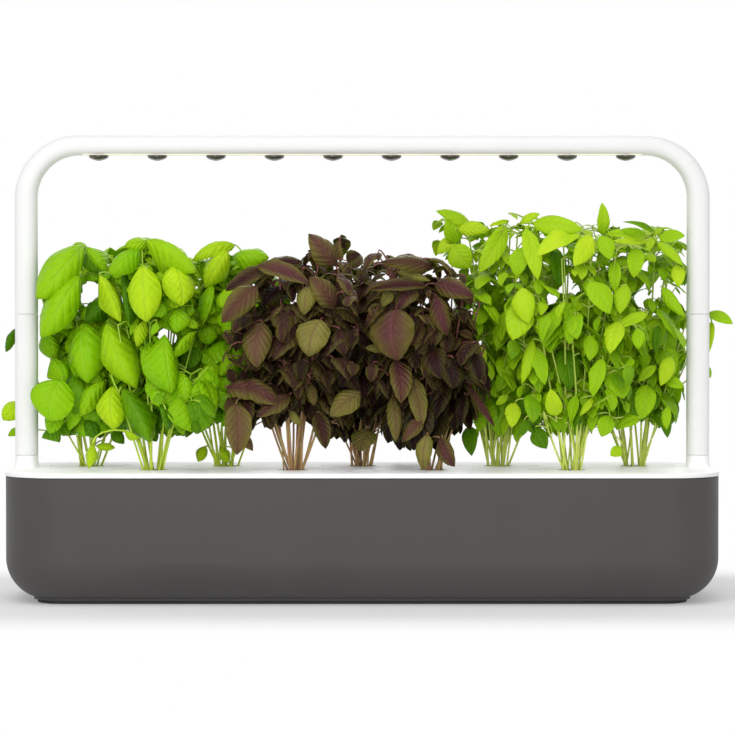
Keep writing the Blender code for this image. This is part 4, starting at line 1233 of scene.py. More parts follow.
@dataclass(frozen=True)
class Blade:
    """A herb's leaf blade, one unit from its foot at the origin to its tip on +Y, face up.

    Attributes:
        foot_power: How slowly the outline widens from the foot.
        tip_power: How sharply it narrows to the tip.
        aspect: Usual width for its length.
        teeth: Teeth along each side.
        tooth: Their depth, as a share of the width.
        veins: Side veins along each side.
        slant: How far they sweep forwards.
        quilt: How far the blade swells between them.
        arch: How far it bends from foot to tip, in radians.
        curl: How far the sides turn down.
        thickness: Its thickness for its length.
        across: Faces across the blade.
        along: Faces along the blade.
    """

    foot_power: float
    tip_power: float
    aspect: float
    teeth: float
    tooth: float
    veins: float
    slant: float
    quilt: float
    arch: float
    curl: float
    thickness: float = 0.010
    across: int = 8
    along: int = 12

    def outline(self, along: float) -> float:
        """Width at a place along the blade, as a share of the full width."""
        peak = self.foot_power / (self.foot_power + self.tip_power)
        along = min(max(along, 0.004), 0.996)
        width = (along / peak) ** self.foot_power * ((1 - along) / (1 - peak)) ** self.tip_power
        saw = (along * self.teeth) % 1
        return max(width * (1 - self.tooth * saw), 0.02)

    def point(self, out: float, along: float, mood: Mood) -> Vector:
        """A point of the upper face.

        Args:
            out: From -1 on the left edge to 1 on the right edge.
            along: From 0 at the foot to 1 at the tip.
            mood: How this leaf differs.

        Returns:
            The point, with X in widths and the rest in lengths.
        """
        half = self.arch * mood.arch / 2
        pitch = half * (1 - 2 * along)
        y = (math.sin(half) - math.sin(pitch)) / (2 * math.sin(half))
        z = (math.cos(pitch) - math.cos(half)) / (2 * math.sin(half))
        side = self.outline(along) / 2
        reach = side * out
        spread = abs(out)
        lift = side * self.aspect * (mood.fold * spread - self.curl * mood.curl * spread ** 2)
        phase = (along - self.slant * spread ** 0.8) * self.veins + (0.17 if out > 0 else -0.17)
        swell = (0.5 + 0.5 * math.cos(math.tau * phase)) * math.sin(math.pi * min(spread, 1) ** 0.7)
        lift += self.quilt * swell * side * 2
        lift += mood.wave * side * spread ** 3 * math.sin(along * 14 + out * 2)
        twist = mood.twist * (along - 0.4)
        across = reach * math.cos(twist) - lift / self.aspect * math.sin(twist)
        lift = reach * self.aspect * math.sin(twist) + lift * math.cos(twist)
        sway = mood.sway * along * (1 - along) * 4
        return Vector((across + sway, y - math.sin(pitch) * lift, z + math.cos(pitch) * lift))

    def mesh(self, name: str, mood: Mood) -> Mesh:
        """The closed blade with its leaf map."""
        bm = bmesh.new()
        leaf_map = bm.loops.layers.uv.new("leaf")
        places: dict[BMVert, Point2] = {}
        sheets = []
        for drop in (0, self.thickness):
            rows = []
            for row in range(self.along + 1):
                along = (1 - math.cos(math.pi * row / self.along)) / 2 * 0.35 + row / self.along * 0.65
                verts = []
                for column in range(self.across + 1):
                    out = 2 * column / self.across - 1
                    vert = bm.verts.new(self.point(out, along, mood) - Vector((0, 0, drop)))
                    places[vert] = ((out + 1) / 2, along)
                    verts.append(vert)
                rows.append(verts)
            sheets.append(rows)
        upper, lower = sheets
        for rows, flip in ((upper, False), (lower, True)):
            for first, second in zip(rows, rows[1:]):
                for i in range(self.across):
                    face = (first[i], first[i + 1], second[i + 1], second[i])
                    bm.faces.new(face[::-1] if flip else face)
        rims = []
        for rows in (upper, lower):
            right = [row[-1] for row in rows[1:]]
            left = [row[0] for row in rows[1:-1]]
            rims.append(rows[0] + right + rows[-1][-2::-1] + left[::-1])
        for i in range(len(rims[0])):
            j = (i + 1) % len(rims[0])
            bm.faces.new((rims[0][j], rims[0][i], rims[1][i], rims[1][j]))
        for face in bm.faces:
            for loop in face.loops:
                loop[leaf_map].uv = places[loop.vert]
        bmesh.ops.recalc_face_normals(bm, faces=bm.faces)
        mesh = bpy.data.meshes.new(name)
        bm.to_mesh(mesh)
        bm.free()
        mesh.shade_smooth()
        return mesh


@dataclass(frozen=True)
class Herb:
    """A kind of herb.

    Attributes:
        name: Its name, which also names its blades.
        pods: The pods that it grows in.
        blade: Its leaf.
        leaf: Its leaves' finish.
        stem: Its stems' finish.
        top: Height of its tallest stems.
        spread: How far its stems lean out.
        stems: Stems on each plant.
        gap: Stem between two pairs of leaves.
        extra: Further leaves on each plant.
        length: A lower leaf's length.
        shades: Painted shade of its lower and its upper further leaves: lower ones darker, as if the foliage above
            shaded them, with random tone on top.
        outline: Where the photograph shows its foliage, in pixels.
    """

    name: str
    pods: tuple[int, ...]
    blade: Blade
    leaf: LeafFinish
    stem: StemFinish
    top: float
    spread: float
    stems: int
    gap: float
    extra: int
    length: float
    shades: Point2
    outline: tuple[Point2, ...]


SWEET = Herb(
    name="sweet_basil",
    pods=(1, 2, 3),
    blade=Blade(0.50, 0.53, 0.78, 7, 0.0, 5.5, 0.30, 0.020, 1.45, 0.95, along=10),
    leaf=LeafFinish(
        name="sweet_leaf",
        deep=(0.030, 0.135, 0.002),
        middle=(0.225, 0.540, 0.002),
        bright=(0.520, 0.780, 0.012),
        vein=(0.400, 0.650, 0.060),
        margin=(0.250, 0.530, 0.004),
        margin_share=0.15,
        veins=6.0,
        slant=0.30,
        gloss=0.34,
        relief=0.80,
        flush=(0.330, 0.580, 0.004),
        flush_share=0.45,
        ribs=0.22,
        crinkle=1.2,
    ),
    stem=StemFinish("sweet_stem", (0.72, 0.88, 0.08), (0.36, 0.62, 0.04), (0.46, 0.64, 0.07)),
    top=302 * MM,
    spread=58 * MM,
    stems=15,
    gap=25 * MM,
    extra=90,
    length=50 * MM,
    shades=(0.10, 0.72),
    outline=(
        (36, 300), (40, 268), (52, 246), (84, 238), (112, 247), (128, 236), (152, 237), (200, 256), (222, 242),
        (245, 238), (268, 250), (272, 268), (300, 300), (300, 400), (232, 430), (215, 425), (196, 436), (150, 444),
        (128, 432), (96, 440), (50, 436), (40, 420), (56, 380), (44, 350),
    ),
)
PURPLE = Herb(
    name="purple_basil",
    pods=(4, 5, 6),
    blade=Blade(0.60, 0.80, 0.64, 7, 0.08, 6.5, 0.32, 0.020, 1.25, 0.50, across=6),
    leaf=LeafFinish(
        name="purple_leaf",
        deep=(0.005, 0.0015, 0.0015),
        middle=(0.120, 0.038, 0.040),
        bright=(0.330, 0.320, 0.070),
        vein=(0.230, 0.060, 0.085),
        margin=(0.165, 0.155, 0.022),
        margin_share=0.70,
        veins=6.5,
        slant=0.32,
        gloss=0.32,
        relief=0.90,
        flush=(0.110, 0.085, 0.016),
        flush_share=0.50,
        ribs=0.40,
        crinkle=1.2,
    ),
    stem=StemFinish("purple_stem", (0.56, 0.42, 0.14), (0.16, 0.055, 0.045), (0.42, 0.17, 0.14)),
    top=304 * MM,
    spread=56 * MM,
    stems=16,
    gap=22 * MM,
    extra=120,
    length=42 * MM,
    shades=(0.0, 0.30),
    outline=(
        (190, 380), (215, 345), (205, 325), (208, 292), (235, 262), (255, 258), (300, 262), (306, 236), (345, 234),
        (362, 254), (400, 250), (440, 258), (474, 282), (478, 335), (492, 375), (494, 420), (462, 436), (440, 452),
        (400, 452), (375, 436), (355, 446), (330, 440), (300, 424), (262, 432), (232, 448), (192, 428),
    ),
)
LEMON = Herb(
    name="lemon_basil",
    pods=(7, 8, 9),
    blade=Blade(0.62, 0.85, 0.58, 6, 0.03, 5.5, 0.34, 0.010, 0.85, 0.35, across=6, along=10),
    leaf=LeafFinish(
        name="lemon_leaf",
        deep=(0.045, 0.160, 0.002),
        middle=(0.270, 0.540, 0.003),
        bright=(0.560, 0.790, 0.020),
        vein=(0.440, 0.680, 0.070),
        margin=(0.310, 0.550, 0.008),
        margin_share=0.20,
        veins=5.5,
        slant=0.34,
        gloss=0.36,
        relief=0.45,
        flush=(0.340, 0.580, 0.006),
        flush_share=0.45,
        ribs=0.28,
    ),
    stem=StemFinish("lemon_stem", (0.76, 0.90, 0.16), (0.44, 0.64, 0.07), (0.52, 0.56, 0.12)),
    top=330 * MM,
    spread=58 * MM,
    stems=19,
    gap=21 * MM,
    extra=150,
    length=36 * MM,
    shades=(0.12, 0.74),
    outline=(
        (402, 212), (425, 205), (452, 214), (490, 224), (515, 210), (545, 212), (590, 226), (600, 204), (612, 226),
        (640, 230), (655, 220), (690, 236), (690, 400), (672, 432), (640, 424), (600, 434), (540, 440), (475, 446),
        (468, 420), (480, 350), (460, 338), (448, 320), (455, 270), (425, 252),
    ),
)

# Bright gaps between the leaves: middle and radius in pixels
GAPS = (
    (87, 298, 6), (90, 287, 5), (165, 336, 6), (173, 339, 4), (662, 290, 9),
    (568, 285, 4), (552, 300, 4), (128, 300, 4), (640, 300, 4),
)

# Leaves as seen: foot x and y, tip x and y and width in pixels, depth in mm, and shade from dark to bright, which
# is painted light and shade: darker for leaves that lie in shade, lighter for lit ones
SWEET_SEEN = (
    (84, 246, 37, 298, 38, -18, 0.62), (80, 275, 41, 337, 34, -26, 0.60), (86, 247, 107, 272, 22, -8, 0.60),
    (88, 250, 98, 273, 20, 4, 0.15), (100, 275, 121, 322, 24, -12, 0.95), (108, 298, 85, 322, 24, 0, 0.10),
    (85, 322, 88, 383, 44, -22, 0.55), (108, 322, 136, 388, 36, -30, 0.72), (45, 330, 55, 360, 22, 5, 0.50),
    (52, 358, 66, 382, 26, 0, 0.50), (62, 380, 50, 421, 44, -30, 0.55), (106, 381, 80, 416, 22, -12, 0.60),
    (114, 386, 114, 430, 30, -34, 1.00), (122, 388, 150, 442, 34, -45, 0.20), (58, 408, 50, 434, 18, -20, 0.50),
    (62, 424, 42, 438, 20, -14, 0.15), (93, 441, 88, 471, 16, -14, 0.95), (96, 446, 115, 448, 9, -10, 0.85),
    (112, 428, 124, 444, 14, 5, 0.15), (124, 430, 139, 438, 8, -50, 0.90), (18, 328, 6, 352, 11, 24, 0.10),
    (22, 402, 3, 420, 20, 26, 0.95), (20, 428, 8, 436, 10, 26, 0.50), (150, 243, 125, 246, 14, -40, 0.70),
    (146, 240, 196, 272, 30, -56, 0.68), (140, 250, 110, 274, 26, -48, 0.45), (143, 266, 147, 322, 33, -66, 0.92),
    (125, 266, 130, 325, 20, -38, 0.12), (175, 265, 182, 306, 34, -60, 0.95), (180, 307, 176, 333, 24, -52, 0.50),
    (146, 320, 137, 347, 14, -56, 0.85), (165, 335, 172, 394, 36, -70, 0.50), (196, 332, 172, 358, 12, -50, 0.60),
    (235, 245, 193, 260, 18, 10, 0.90), (228, 250, 205, 288, 26, 6, 0.92), (233, 256, 269, 258, 26, 12, 0.60),
    (212, 283, 203, 325, 16, 0, 0.50), (207, 326, 208, 345, 20, 5, 0.45), (200, 350, 182, 368, 24, 0, 0.12),
    (186, 346, 180, 366, 20, -10, 0.15), (206, 446, 198, 462, 12, 10, 0.95), (220, 447, 229, 463, 12, 12, 0.90),
)
PURPLE_SEEN = (
    (252, 268, 212, 291, 18, -52, 0.20), (243, 287, 208, 323, 26, -60, 0.45), (258, 266, 309, 284, 22, -56, 0.40),
    (262, 266, 303, 262, 18, -40, 0.20), (283, 288, 263, 306, 20, -40, 0.05), (262, 322, 257, 368, 30, -66, 0.60),
    (321, 320, 309, 357, 34, -62, 0.85), (222, 369, 229, 385, 12, -40, 0.20), (192, 388, 230, 399, 24, -60, 0.50),
    (191, 396, 196, 437, 16, -58, 0.50), (200, 398, 208, 422, 13, -50, 0.30), (222, 404, 223, 455, 28, -72, 0.60),
    (236, 428, 253, 451, 14, -66, 0.55), (242, 383, 280, 404, 24, -64, 0.35), (247, 400, 250, 423, 18, -58, 0.25),
    (290, 395, 258, 417, 22, -66, 0.30), (290, 411, 302, 426, 9, -55, 0.95), (336, 266, 309, 234, 27, -40, 0.55),
    (347, 261, 360, 254, 15, -36, 0.15), (341, 262, 338, 241, 10, -30, 0.60), (334, 307, 310, 277, 26, -52, 0.55),
    (308, 286, 304, 315, 20, -60, 0.90), (398, 286, 342, 290, 17, -62, 0.25), (433, 268, 381, 262, 18, -56, 0.30),
    (392, 290, 382, 307, 15, -58, 0.90), (398, 272, 431, 281, 11, -50, 0.95), (396, 309, 398, 361, 46, -76, 0.40),
    (385, 350, 365, 348, 10, -50, 0.90), (436, 296, 448, 336, 20, -62, 0.35), (435, 284, 474, 297, 22, -58, 0.35),
    (360, 393, 330, 416, 26, -66, 0.75), (397, 360, 401, 403, 24, -64, 0.50), (393, 397, 396, 442, 16, -60, 0.70),
    (413, 378, 422, 427, 19, -58, 0.70), (423, 418, 402, 442, 16, -64, 0.50), (428, 435, 424, 470, 17, -66, 0.80),
    (440, 438, 455, 467, 18, -60, 0.35), (368, 429, 360, 452, 28, -10, 0.70), (312, 384, 314, 406, 12, -50, 0.70),
    (317, 413, 326, 449, 18, -48, 0.20), (467, 383, 495, 427, 10, -40, 0.45), (465, 395, 461, 426, 15, -44, 0.10),
    (460, 332, 473, 338, 9, -40, 0.30),
)
LEMON_SEEN = (
    (441, 233, 403, 211, 17, 20, 0.70), (443, 240, 424, 254, 15, 20, 0.90), (455, 245, 448, 215, 20, 10, 0.60),
    (458, 229, 489, 231, 16, 5, 0.85), (453, 246, 471, 268, 26, 0, 0.70), (506, 226, 479, 273, 20, -20, 0.75),
    (513, 220, 485, 227, 7, -40, 0.90), (520, 223, 540, 214, 9, -40, 0.80), (533, 223, 583, 230, 20, -48, 0.70),
    (580, 232, 537, 256, 22, -56, 0.98), (526, 229, 538, 280, 18, -50, 0.80), (516, 248, 510, 277, 19, -40, 0.60),
    (523, 288, 529, 324, 23, -60, 0.80), (508, 302, 499, 340, 28, -56, 0.70), (465, 318, 451, 327, 16, -10, 0.70),
    (490, 364, 475, 390, 26, -20, 0.60), (475, 345, 484, 370, 18, -10, 0.90), (470, 426, 472, 456, 16, 0, 0.10),
    (508, 396, 496, 405, 8, -20, 0.70), (515, 403, 512, 428, 16, -40, 0.95), (536, 428, 547, 449, 18, -40, 0.10),
    (533, 340, 522, 384, 13, -50, 0.70), (536, 349, 545, 385, 15, -52, 0.50), (602, 235, 602, 203, 13, -30, 0.70),
    (591, 235, 574, 266, 20, -60, 0.98), (600, 236, 611, 260, 17, -50, 0.60), (606, 234, 644, 241, 10, -40, 0.70),
    (648, 241, 613, 241, 8, -44, 0.95), (654, 232, 623, 222, 8, -30, 0.20), (648, 236, 620, 230, 8, -34, 0.40),
    (659, 238, 685, 236, 14, -14, 0.60), (658, 242, 683, 266, 12, -18, 0.70), (554, 251, 559, 286, 19, -30, 0.10),
    (637, 248, 634, 278, 17, -30, 0.60), (615, 261, 615, 293, 13, -40, 0.60), (590, 282, 610, 314, 26, -66, 0.60),
    (627, 285, 620, 314, 17, -50, 0.70), (676, 265, 679, 287, 14, -18, 0.95), (662, 287, 685, 317, 13, -20, 0.60),
    (708, 313, 733, 324, 14, 22, 0.60), (712, 322, 709, 353, 9, 24, 0.90), (706, 366, 711, 378, 8, 24, 0.50),
    (603, 359, 593, 397, 16, -60, 0.60), (564, 349, 570, 391, 24, -40, 0.12), (590, 335, 590, 361, 16, -58, 0.60),
    (620, 322, 610, 354, 20, -60, 0.85), (647, 314, 613, 330, 14, -50, 0.70), (659, 326, 656, 355, 10, -14, 0.10),
    (672, 357, 661, 386, 17, -16, 0.85), (656, 366, 639, 382, 12, -18, 0.60), (665, 378, 684, 388, 12, -10, 0.50),
    (648, 385, 641, 420, 22, -24, 0.60), (668, 407, 667, 430, 10, -20, 0.60), (663, 410, 668, 438, 12, 0, 0.10),
    (610, 416, 602, 437, 17, -50, 0.50), (640, 418, 616, 430, 14, -40, 0.50), (621, 447, 611, 456, 12, -50, 0.70),
    (593, 398, 580, 416, 8, -56, 0.90), (556, 416, 551, 389, 17, -56, 0.98),
)


def from_photo(pixel: Point2, y: float) -> Vector:
    """The point behind a pixel of the photograph, at a depth."""
    scale = (VIEW_DISTANCE + y) / VIEW_FOCUS
    return Vector(((pixel[0] - VIEW_CENTRE_X) * scale, y, VIEW_HEIGHT - (pixel[1] - VIEW_HORIZON) * scale))


def to_photo(point: Vector) -> Point2:
    """The pixel of the photograph in which a point shows."""
    scale = VIEW_FOCUS / (VIEW_DISTANCE + point.y)
    return (VIEW_CENTRE_X + point.x * scale, VIEW_HORIZON + (VIEW_HEIGHT - point.z) * scale)


def encloses(outline: Sequence[Point2], place: Point2) -> bool:
    """Whether a closed outline holds a place."""
    inside = False
    for (x1, y1), (x2, y2) in zip(outline, (*outline[1:], outline[0])):
        if (y1 > place[1]) != (y2 > place[1]) and place[0] < (x2 - x1) * (place[1] - y1) / (y2 - y1) + x1:
            inside = not inside
    return inside


def arc(start: Vector, leave: Vector, arrive: Vector, end: Vector, steps: int) -> list[Vector]:
    """Points of a smooth path with two handles."""
    points = []
    for step in range(steps + 1):
        t = step / steps
        s = 1 - t
        points.append(start * s ** 3 + leave * 3 * s * s * t + arrive * 3 * s * t * t + end * t ** 3)
    return points


@dataclass
class PlantSpace:
    """Upright cells that keep each plant clear of its neighbours, the posts and the lamp as pods lift."""

    sites: dict[int, Point2]
    post_x: float
    lamp_low: float
    margin: float = 1.4 * MM
    strip: float = 14 * MM
    reach_x: float = 330 * MM
    reach_y: float = 97 * MM
    walls: dict[int, list[tuple[float, float, float]]] = field(default_factory=dict)

    def __post_init__(self) -> None:
        """Work out the walls half-way to the other pods."""
        for number, own in self.sites.items():
            self.walls[number] = []
            for other in self.sites.values():
                way = Vector(other) - Vector(own)
                if way.length > 0:
                    normal = way.normalized()
                    limit = normal.dot(Vector(own)) + way.length / 2 - self.margin
                    self.walls[number].append((normal.x, normal.y, limit))

    def holds(self, point: Vector, number: int, low: float = LID_TOP + 2.5 * MM) -> bool:
        """Whether a point is in a plant's own space."""
        x, y, z = point
        if abs(y) > self.reach_y or abs(x) > self.reach_x or z < low:
            return False
        if abs(y) < self.strip and (abs(x) > self.post_x or z > self.lamp_low):
            return False
        return all(x * nx + y * ny <= limit for nx, ny, limit in self.walls[number])

    def nearest(self, point: Vector) -> int:
        """The pod whose cell a point is in."""
        return min(self.sites, key=lambda n: math.dist(self.sites[n], (point.x, point.y)))


@dataclass(frozen=True)
class Leaf:
    """One placed leaf: its foot, its turn, its width and length, its kind and its shade."""

    foot: Vector
    turn: Matrix
    width: float
    length: float
    kind: int
    # Painted light and shade: 0 darkens the leaf's colour as if shaded, 1 lightens it as if lit
    shade: float

    def at(self, point: Vector) -> Vector:
        """Where a point of the unit leaf lies."""
        scaled = Vector((point.x * self.width, point.y * self.length, point.z * self.length))
        return self.foot + self.turn @ scaled


def leaf_turn(ahead: Vector, face: Vector, roll: float) -> Matrix:
    """The turn that points a leaf ahead and shows its face.

    Args:
        ahead: From foot to tip.
        face: Roughly where its face looks.
        roll: Further turn about its length.

    Returns:
        The rotation matrix.
    """
    forward = ahead.normalized()
    up = face - forward * face.dot(forward)
    if up.length < 1e-4:
        up = forward.orthogonal()
    up = Matrix.Rotation(roll, 3, forward) @ up.normalized()
    side = forward.cross(up)
    return Matrix((side, forward, up)).transposed()


@dataclass
class Plant:
    """One plant in the making."""

    number: int
    place: Point2
    paths: list[tuple[list[Vector], float, float]] = field(default_factory=list)
    stems: list[list[Vector]] = field(default_factory=list)
    girths: list[float] = field(default_factory=list)
    used: list[int] = field(default_factory=list)
    leaves: list[Leaf] = field(default_factory=list)
    hung: list[Leaf] = field(default_factory=list)


class Garden:
    """Grows every plant of every herb inside its own space."""

    KINDS = 8
    CELL = 5
    STEM_TRIES = 18
    STEM_STEPS = 16
    LEAF_TRIES = 7
    NEAR_SPOTS = 20
    ROOM_IN_FRONT = 5 * MM

    def __init__(self, space: PlantSpace) -> None:
        """Start with bare pods."""
        self.space = space
        self.plants = {n: Plant(n, place) for n, place in space.sites.items()}
        self.screen: dict[tuple[int, int], float] = {}
        self.leaf_tree = build_leaf_tree()
        self.tube_tree = build_tube_tree()
        self.moods: list[Mood] = []
        self.samples: list[list[Vector]] = []
        self.dense: list[list[Vector]] = []
        self.cover: dict[tuple[int, int], float] = {}

    def fits(self, leaf: Leaf, number: int) -> bool:
        """Whether a whole leaf is in a plant's space."""
        return all(self.space.holds(leaf.at(point), number) for point in self.samples[leaf.kind])

    def set_moods(self, herb: Herb) -> None:
        """Choose how the kinds of a herb's leaf differ, and sample each."""
        chance = random.Random(herb.name)
        self.moods = []
        for _ in range(self.KINDS):
            arch, curl = chance.uniform(0.45, 1.35), chance.uniform(0.3, 1.4)
            fold, twist = chance.uniform(-0.05, 0.45), chance.uniform(-0.5, 0.5)
            sway, wave = chance.uniform(-0.10, 0.10), chance.uniform(0.0, 0.06)
            self.moods.append(Mood(arch, curl, fold, twist, sway, wave))
        places = [(out, along) for along in (0, 0.12, 0.3, 0.5, 0.7, 0.88, 1) for out in (-1, -0.5, 0, 0.5, 1)]
        self.samples = [[herb.blade.point(*place, mood) for place in places] for mood in self.moods]
        places = [(out / 5, along / 12) for along in range(13) for out in range(-5, 6)]
        self.dense = [[herb.blade.point(*place, mood) for place in places] for mood in self.moods]

    def grow_stems(self, herb: Herb, plant: Plant) -> None:
        """Fan the main stems out of the plug."""
        chance = random.Random(plant.number * 17)
        base = Vector((*plant.place, LID_TOP - 3.5 * MM))
        for order in range(herb.stems):
            ring = order / (herb.stems - 1)
            heading = order * GOLDEN_TURN + plant.number + chance.uniform(-0.2, 0.2)
            ahead = Vector((math.cos(heading), max(math.sin(heading), 0.35 * math.sin(heading)), 0))
            aside = Vector((-ahead.y, ahead.x, 0))
            reach = herb.spread * (0.30 + 0.80 * ring ** 0.7) * chance.uniform(0.85, 1.1)
            rise = (herb.top - base.z) * (1.0 - 0.42 * ring ** 1.6) * chance.uniform(0.90, 1.0)
            bend = chance.uniform(-10, 10) * MM
            power, side = chance.uniform(0.9, 1.3), heading + chance.uniform(-1.5, 1.5)
            foot = Vector((math.cos(side), math.sin(side), 0)) * (9.5 * MM * math.sqrt(chance.uniform(0.05, 1)))
            for _ in range(self.STEM_TRIES):
                points = []
                for step in range(self.STEM_STEPS + 1):
                    t = step / self.STEM_STEPS
                    sag = bend * math.sin(math.pi * t)
                    out = ahead * (reach * t ** power + 0.5 * sag) + aside * sag
                    points.append(base + foot * (1 - 0.5 * t) + out + Vector((0, 0, rise * t ** 1.04)))
                if all(self.space.holds(point, plant.number, base.z - 1 * MM) for point in points):
                    plant.stems.append(points)
                    plant.girths.append(chance.uniform(0.75, 1.3) * MM)
                    plant.used.append(4)
                    break
                reach *= 0.88

    def stalk(self, plant: Plant, leaf: Leaf) -> tuple[int, list[Vector], int, int] | None:
        """Find the stalk from a plant's stem to a leaf that passes in front of the fewest other leaves.

        Args:
            plant: The plant.
            leaf: The leaf.

        Returns:
            How much of it passes in front, its path, the stem and the step along it, or None without room.
        """
        spots = []
        for stem, points in enumerate(plant.stems):
            for step, point in enumerate(points[3:], 3):
                above = max(point.z - leaf.foot.z + 4 * MM, 0)
                spots.append(((leaf.foot - point).length + 1.5 * above, point, stem, step))
        spots.sort(key=lambda spot: spot[0])
        ahead = leaf.turn.col[1]
        best = None
        for _, point, stem, step in spots[: self.NEAR_SPOTS]:
            far = (leaf.foot - point).length
            for pull in (0.3, 0.12, 0.0):
                leave = point + Vector((0, 0, far * pull)) + (leaf.foot - point) * 0.1
                arrive = leaf.foot - ahead * (far * pull)
                path = arc(point, leave, arrive, leaf.foot, 7)
                if all(self.space.holds(p, plant.number) for p in path):
                    crossings = sum(p.y < self.cover.get(self.cell(p), 1.0) - 1 * MM for p in path[:-1])
                    if best is None or crossings < best[0]:
                        best = (crossings, path, stem, step)
                    if crossings == 0:
                        return best
        return best

    def join(self, plant: Plant) -> None:
        """Join every leaf that hangs free to a stem of its plant."""
        for leaf in plant.leaves:
            self.shade(self.cover, leaf)
        for leaf in plant.hung:
            best = self.stalk(plant, leaf)
            if best is None:
                plant.leaves.remove(leaf)
                continue
            _, path, stem, step = best
            far = (leaf.foot - path[0]).length
            width = min(0.4 * MM + 0.007 * leaf.length + 0.004 * far, 1.1 * MM)
            plant.paths.append((path, width * 1.2, width * 0.8))
            plant.used[stem] = max(plant.used[stem], step)

    def cell(self, place: Vector) -> tuple[int, int]:
        """The patch of the photograph in which a place shows."""
        x, y = to_photo(place)
        return (int(x // self.CELL), int(y // self.CELL))

    def shade(self, screen: dict[tuple[int, int], float], leaf: Leaf) -> None:
        """Note where the photograph shows a leaf, and how far in front it is."""
        for point in self.dense[leaf.kind]:
            place = leaf.at(point)
            key = self.cell(place)
            screen[key] = min(screen.get(key, 1.0), place.y)

    def place_seen(self, herb: Herb, seen: Sequence[Sequence[float]]) -> None:
        """Place the leaves that the photograph shows.

        Args:
            herb: The herb.
            seen: Its leaves as seen.
        """
        chance = random.Random(herb.name + " seen")
        tries = [
            (abs(move) * 0.25 + shift + (1 - share) * 90, move, shift, share)
            for move in range(-48, 49, 8)
            for shift in range(0, 43, 6)
            for share in (1.0, 0.93, 0.86, 0.78, 0.7, 0.6)
        ]
        tries.sort()
        missed = 0
        # Each row's shade is painted light and shade
        for x1, y1, x2, y2, wide, depth, shade in seen:
            kind, roll = chance.randrange(self.KINDS), chance.uniform(-0.35, 0.35)
            lean = chance.uniform(0.05, 0.25)
            for _, move, shift, share in tries:
                middle = (depth + move) * MM
                length = math.hypot(x2 - x1, y2 - y1) / PIXELS_PER_MM * MM
                foot = from_photo((x1, y1), middle + lean * length)
                tip = from_photo((x2, y2), middle - lean * length)
                number = self.space.nearest((foot + tip) / 2)
                if number not in herb.pods:
                    number = min(herb.pods, key=lambda n: abs(self.space.sites[n][0] - (foot.x + tip.x) / 2))
                towards = math.copysign(shift * MM, self.space.sites[number][0] - (foot.x + tip.x) / 2)
                centre = (foot + tip) / 2 + Vector((towards, 0, 0))
                ahead = (tip - foot) * share
                face = Vector((chance.uniform(-0.1, 0.1), -1, 0.45))
                turn = leaf_turn(ahead, face, roll)
                width = wide / PIXELS_PER_MM * MM * share
                leaf = Leaf(centre - ahead / 2, turn, width, ahead.length, kind, shade)
                if self.fits(leaf, number) and self.stalk(self.plants[number], leaf):
                    self.plants[number].leaves.append(leaf)
                    self.plants[number].hung.append(leaf)
                    self.shade(self.screen, leaf)
                    break
            else:
                missed += 1
        LOG.info("%s: %d leaves as seen, %d without room", herb.name, len(seen) - missed, missed)

    def shows_well(self, leaf: Leaf, herb: Herb) -> bool:
        """Whether a further leaf keeps to the foliage's outline and out of the seen leaves' way."""
        for point in self.samples[leaf.kind]:
            place = leaf.at(point)
            x, y = to_photo(place)
            if not encloses(herb.outline, (x, y)):
                return False
            if any(math.hypot(x - gx, y - gy) < radius for gx, gy, radius in GAPS):
                return False
            if place.y < self.screen.get(self.cell(place), -1.0) + self.ROOM_IN_FRONT:
                return False
        return True

    def add_leaf(
        self, herb: Herb, plant: Plant, node: Vector, heading: float, size: float, on_stem: bool = True
    ) -> bool:
        """Grow one further leaf, turning and shortening it until it fits.

        Args:
            herb: The herb.
            plant: The plant.
            node: Where it leaves the stem, or where its blade starts.
            heading: Its heading in plan.
            size: Its size for its height.
            on_stem: Whether the node is on a stem; otherwise a stalk joins the leaf to the nearest one.

        Returns:
            Whether it fits.
        """
        share = min(max((node.z - LID_TOP) / (herb.top - LID_TOP), 0), 1)
        chance = random.Random(hash((round(node.x, 4), round(node.z, 4), round(heading, 3))))
        length = herb.length * size * (1.12 - 0.42 * share) * chance.uniform(0.8, 1.15)
        for _ in range(self.LEAF_TRIES):
            pitch = math.radians(-62 + 40 * share ** 2 + chance.uniform(-20, 20))
            level = math.cos(pitch)
            ahead = Vector((math.cos(heading) * level, math.sin(heading) * level, math.sin(pitch)))
            out = Vector((math.cos(heading), math.sin(heading), 0.35)).normalized()
            foot = node + out * (0.30 * length if on_stem else 0)
            turn = leaf_turn(ahead, Vector((ahead.x * 0.3, ahead.y * 0.3, 1)), chance.uniform(-0.45, 0.45))
            width = length * herb.blade.aspect * chance.uniform(0.85, 1.12)
            # Painted shade: lower leaves get darker colours, as if the foliage above shaded them, with some random
            # tone
            low, high = herb.shades
            shade = low + (high - low) * min(max(share + chance.uniform(-0.35, 0.3), 0), 1)
            leaf = Leaf(foot, turn, width, length, chance.randrange(self.KINDS), shade)
            if self.fits(leaf, plant.number) and self.shows_well(leaf, herb):
                if on_stem:
                    path = arc(node, node + out * (0.12 * length), foot - ahead * (0.08 * length), foot, 4)
                    plant.paths.append((path, 0.75 * MM * size + 0.2 * MM, 0.5 * MM))
                else:
                    plant.hung.append(leaf)
                plant.leaves.append(leaf)
                return True
            heading += chance.uniform(-0.6, 0.6)
            length *= 0.88
        return False

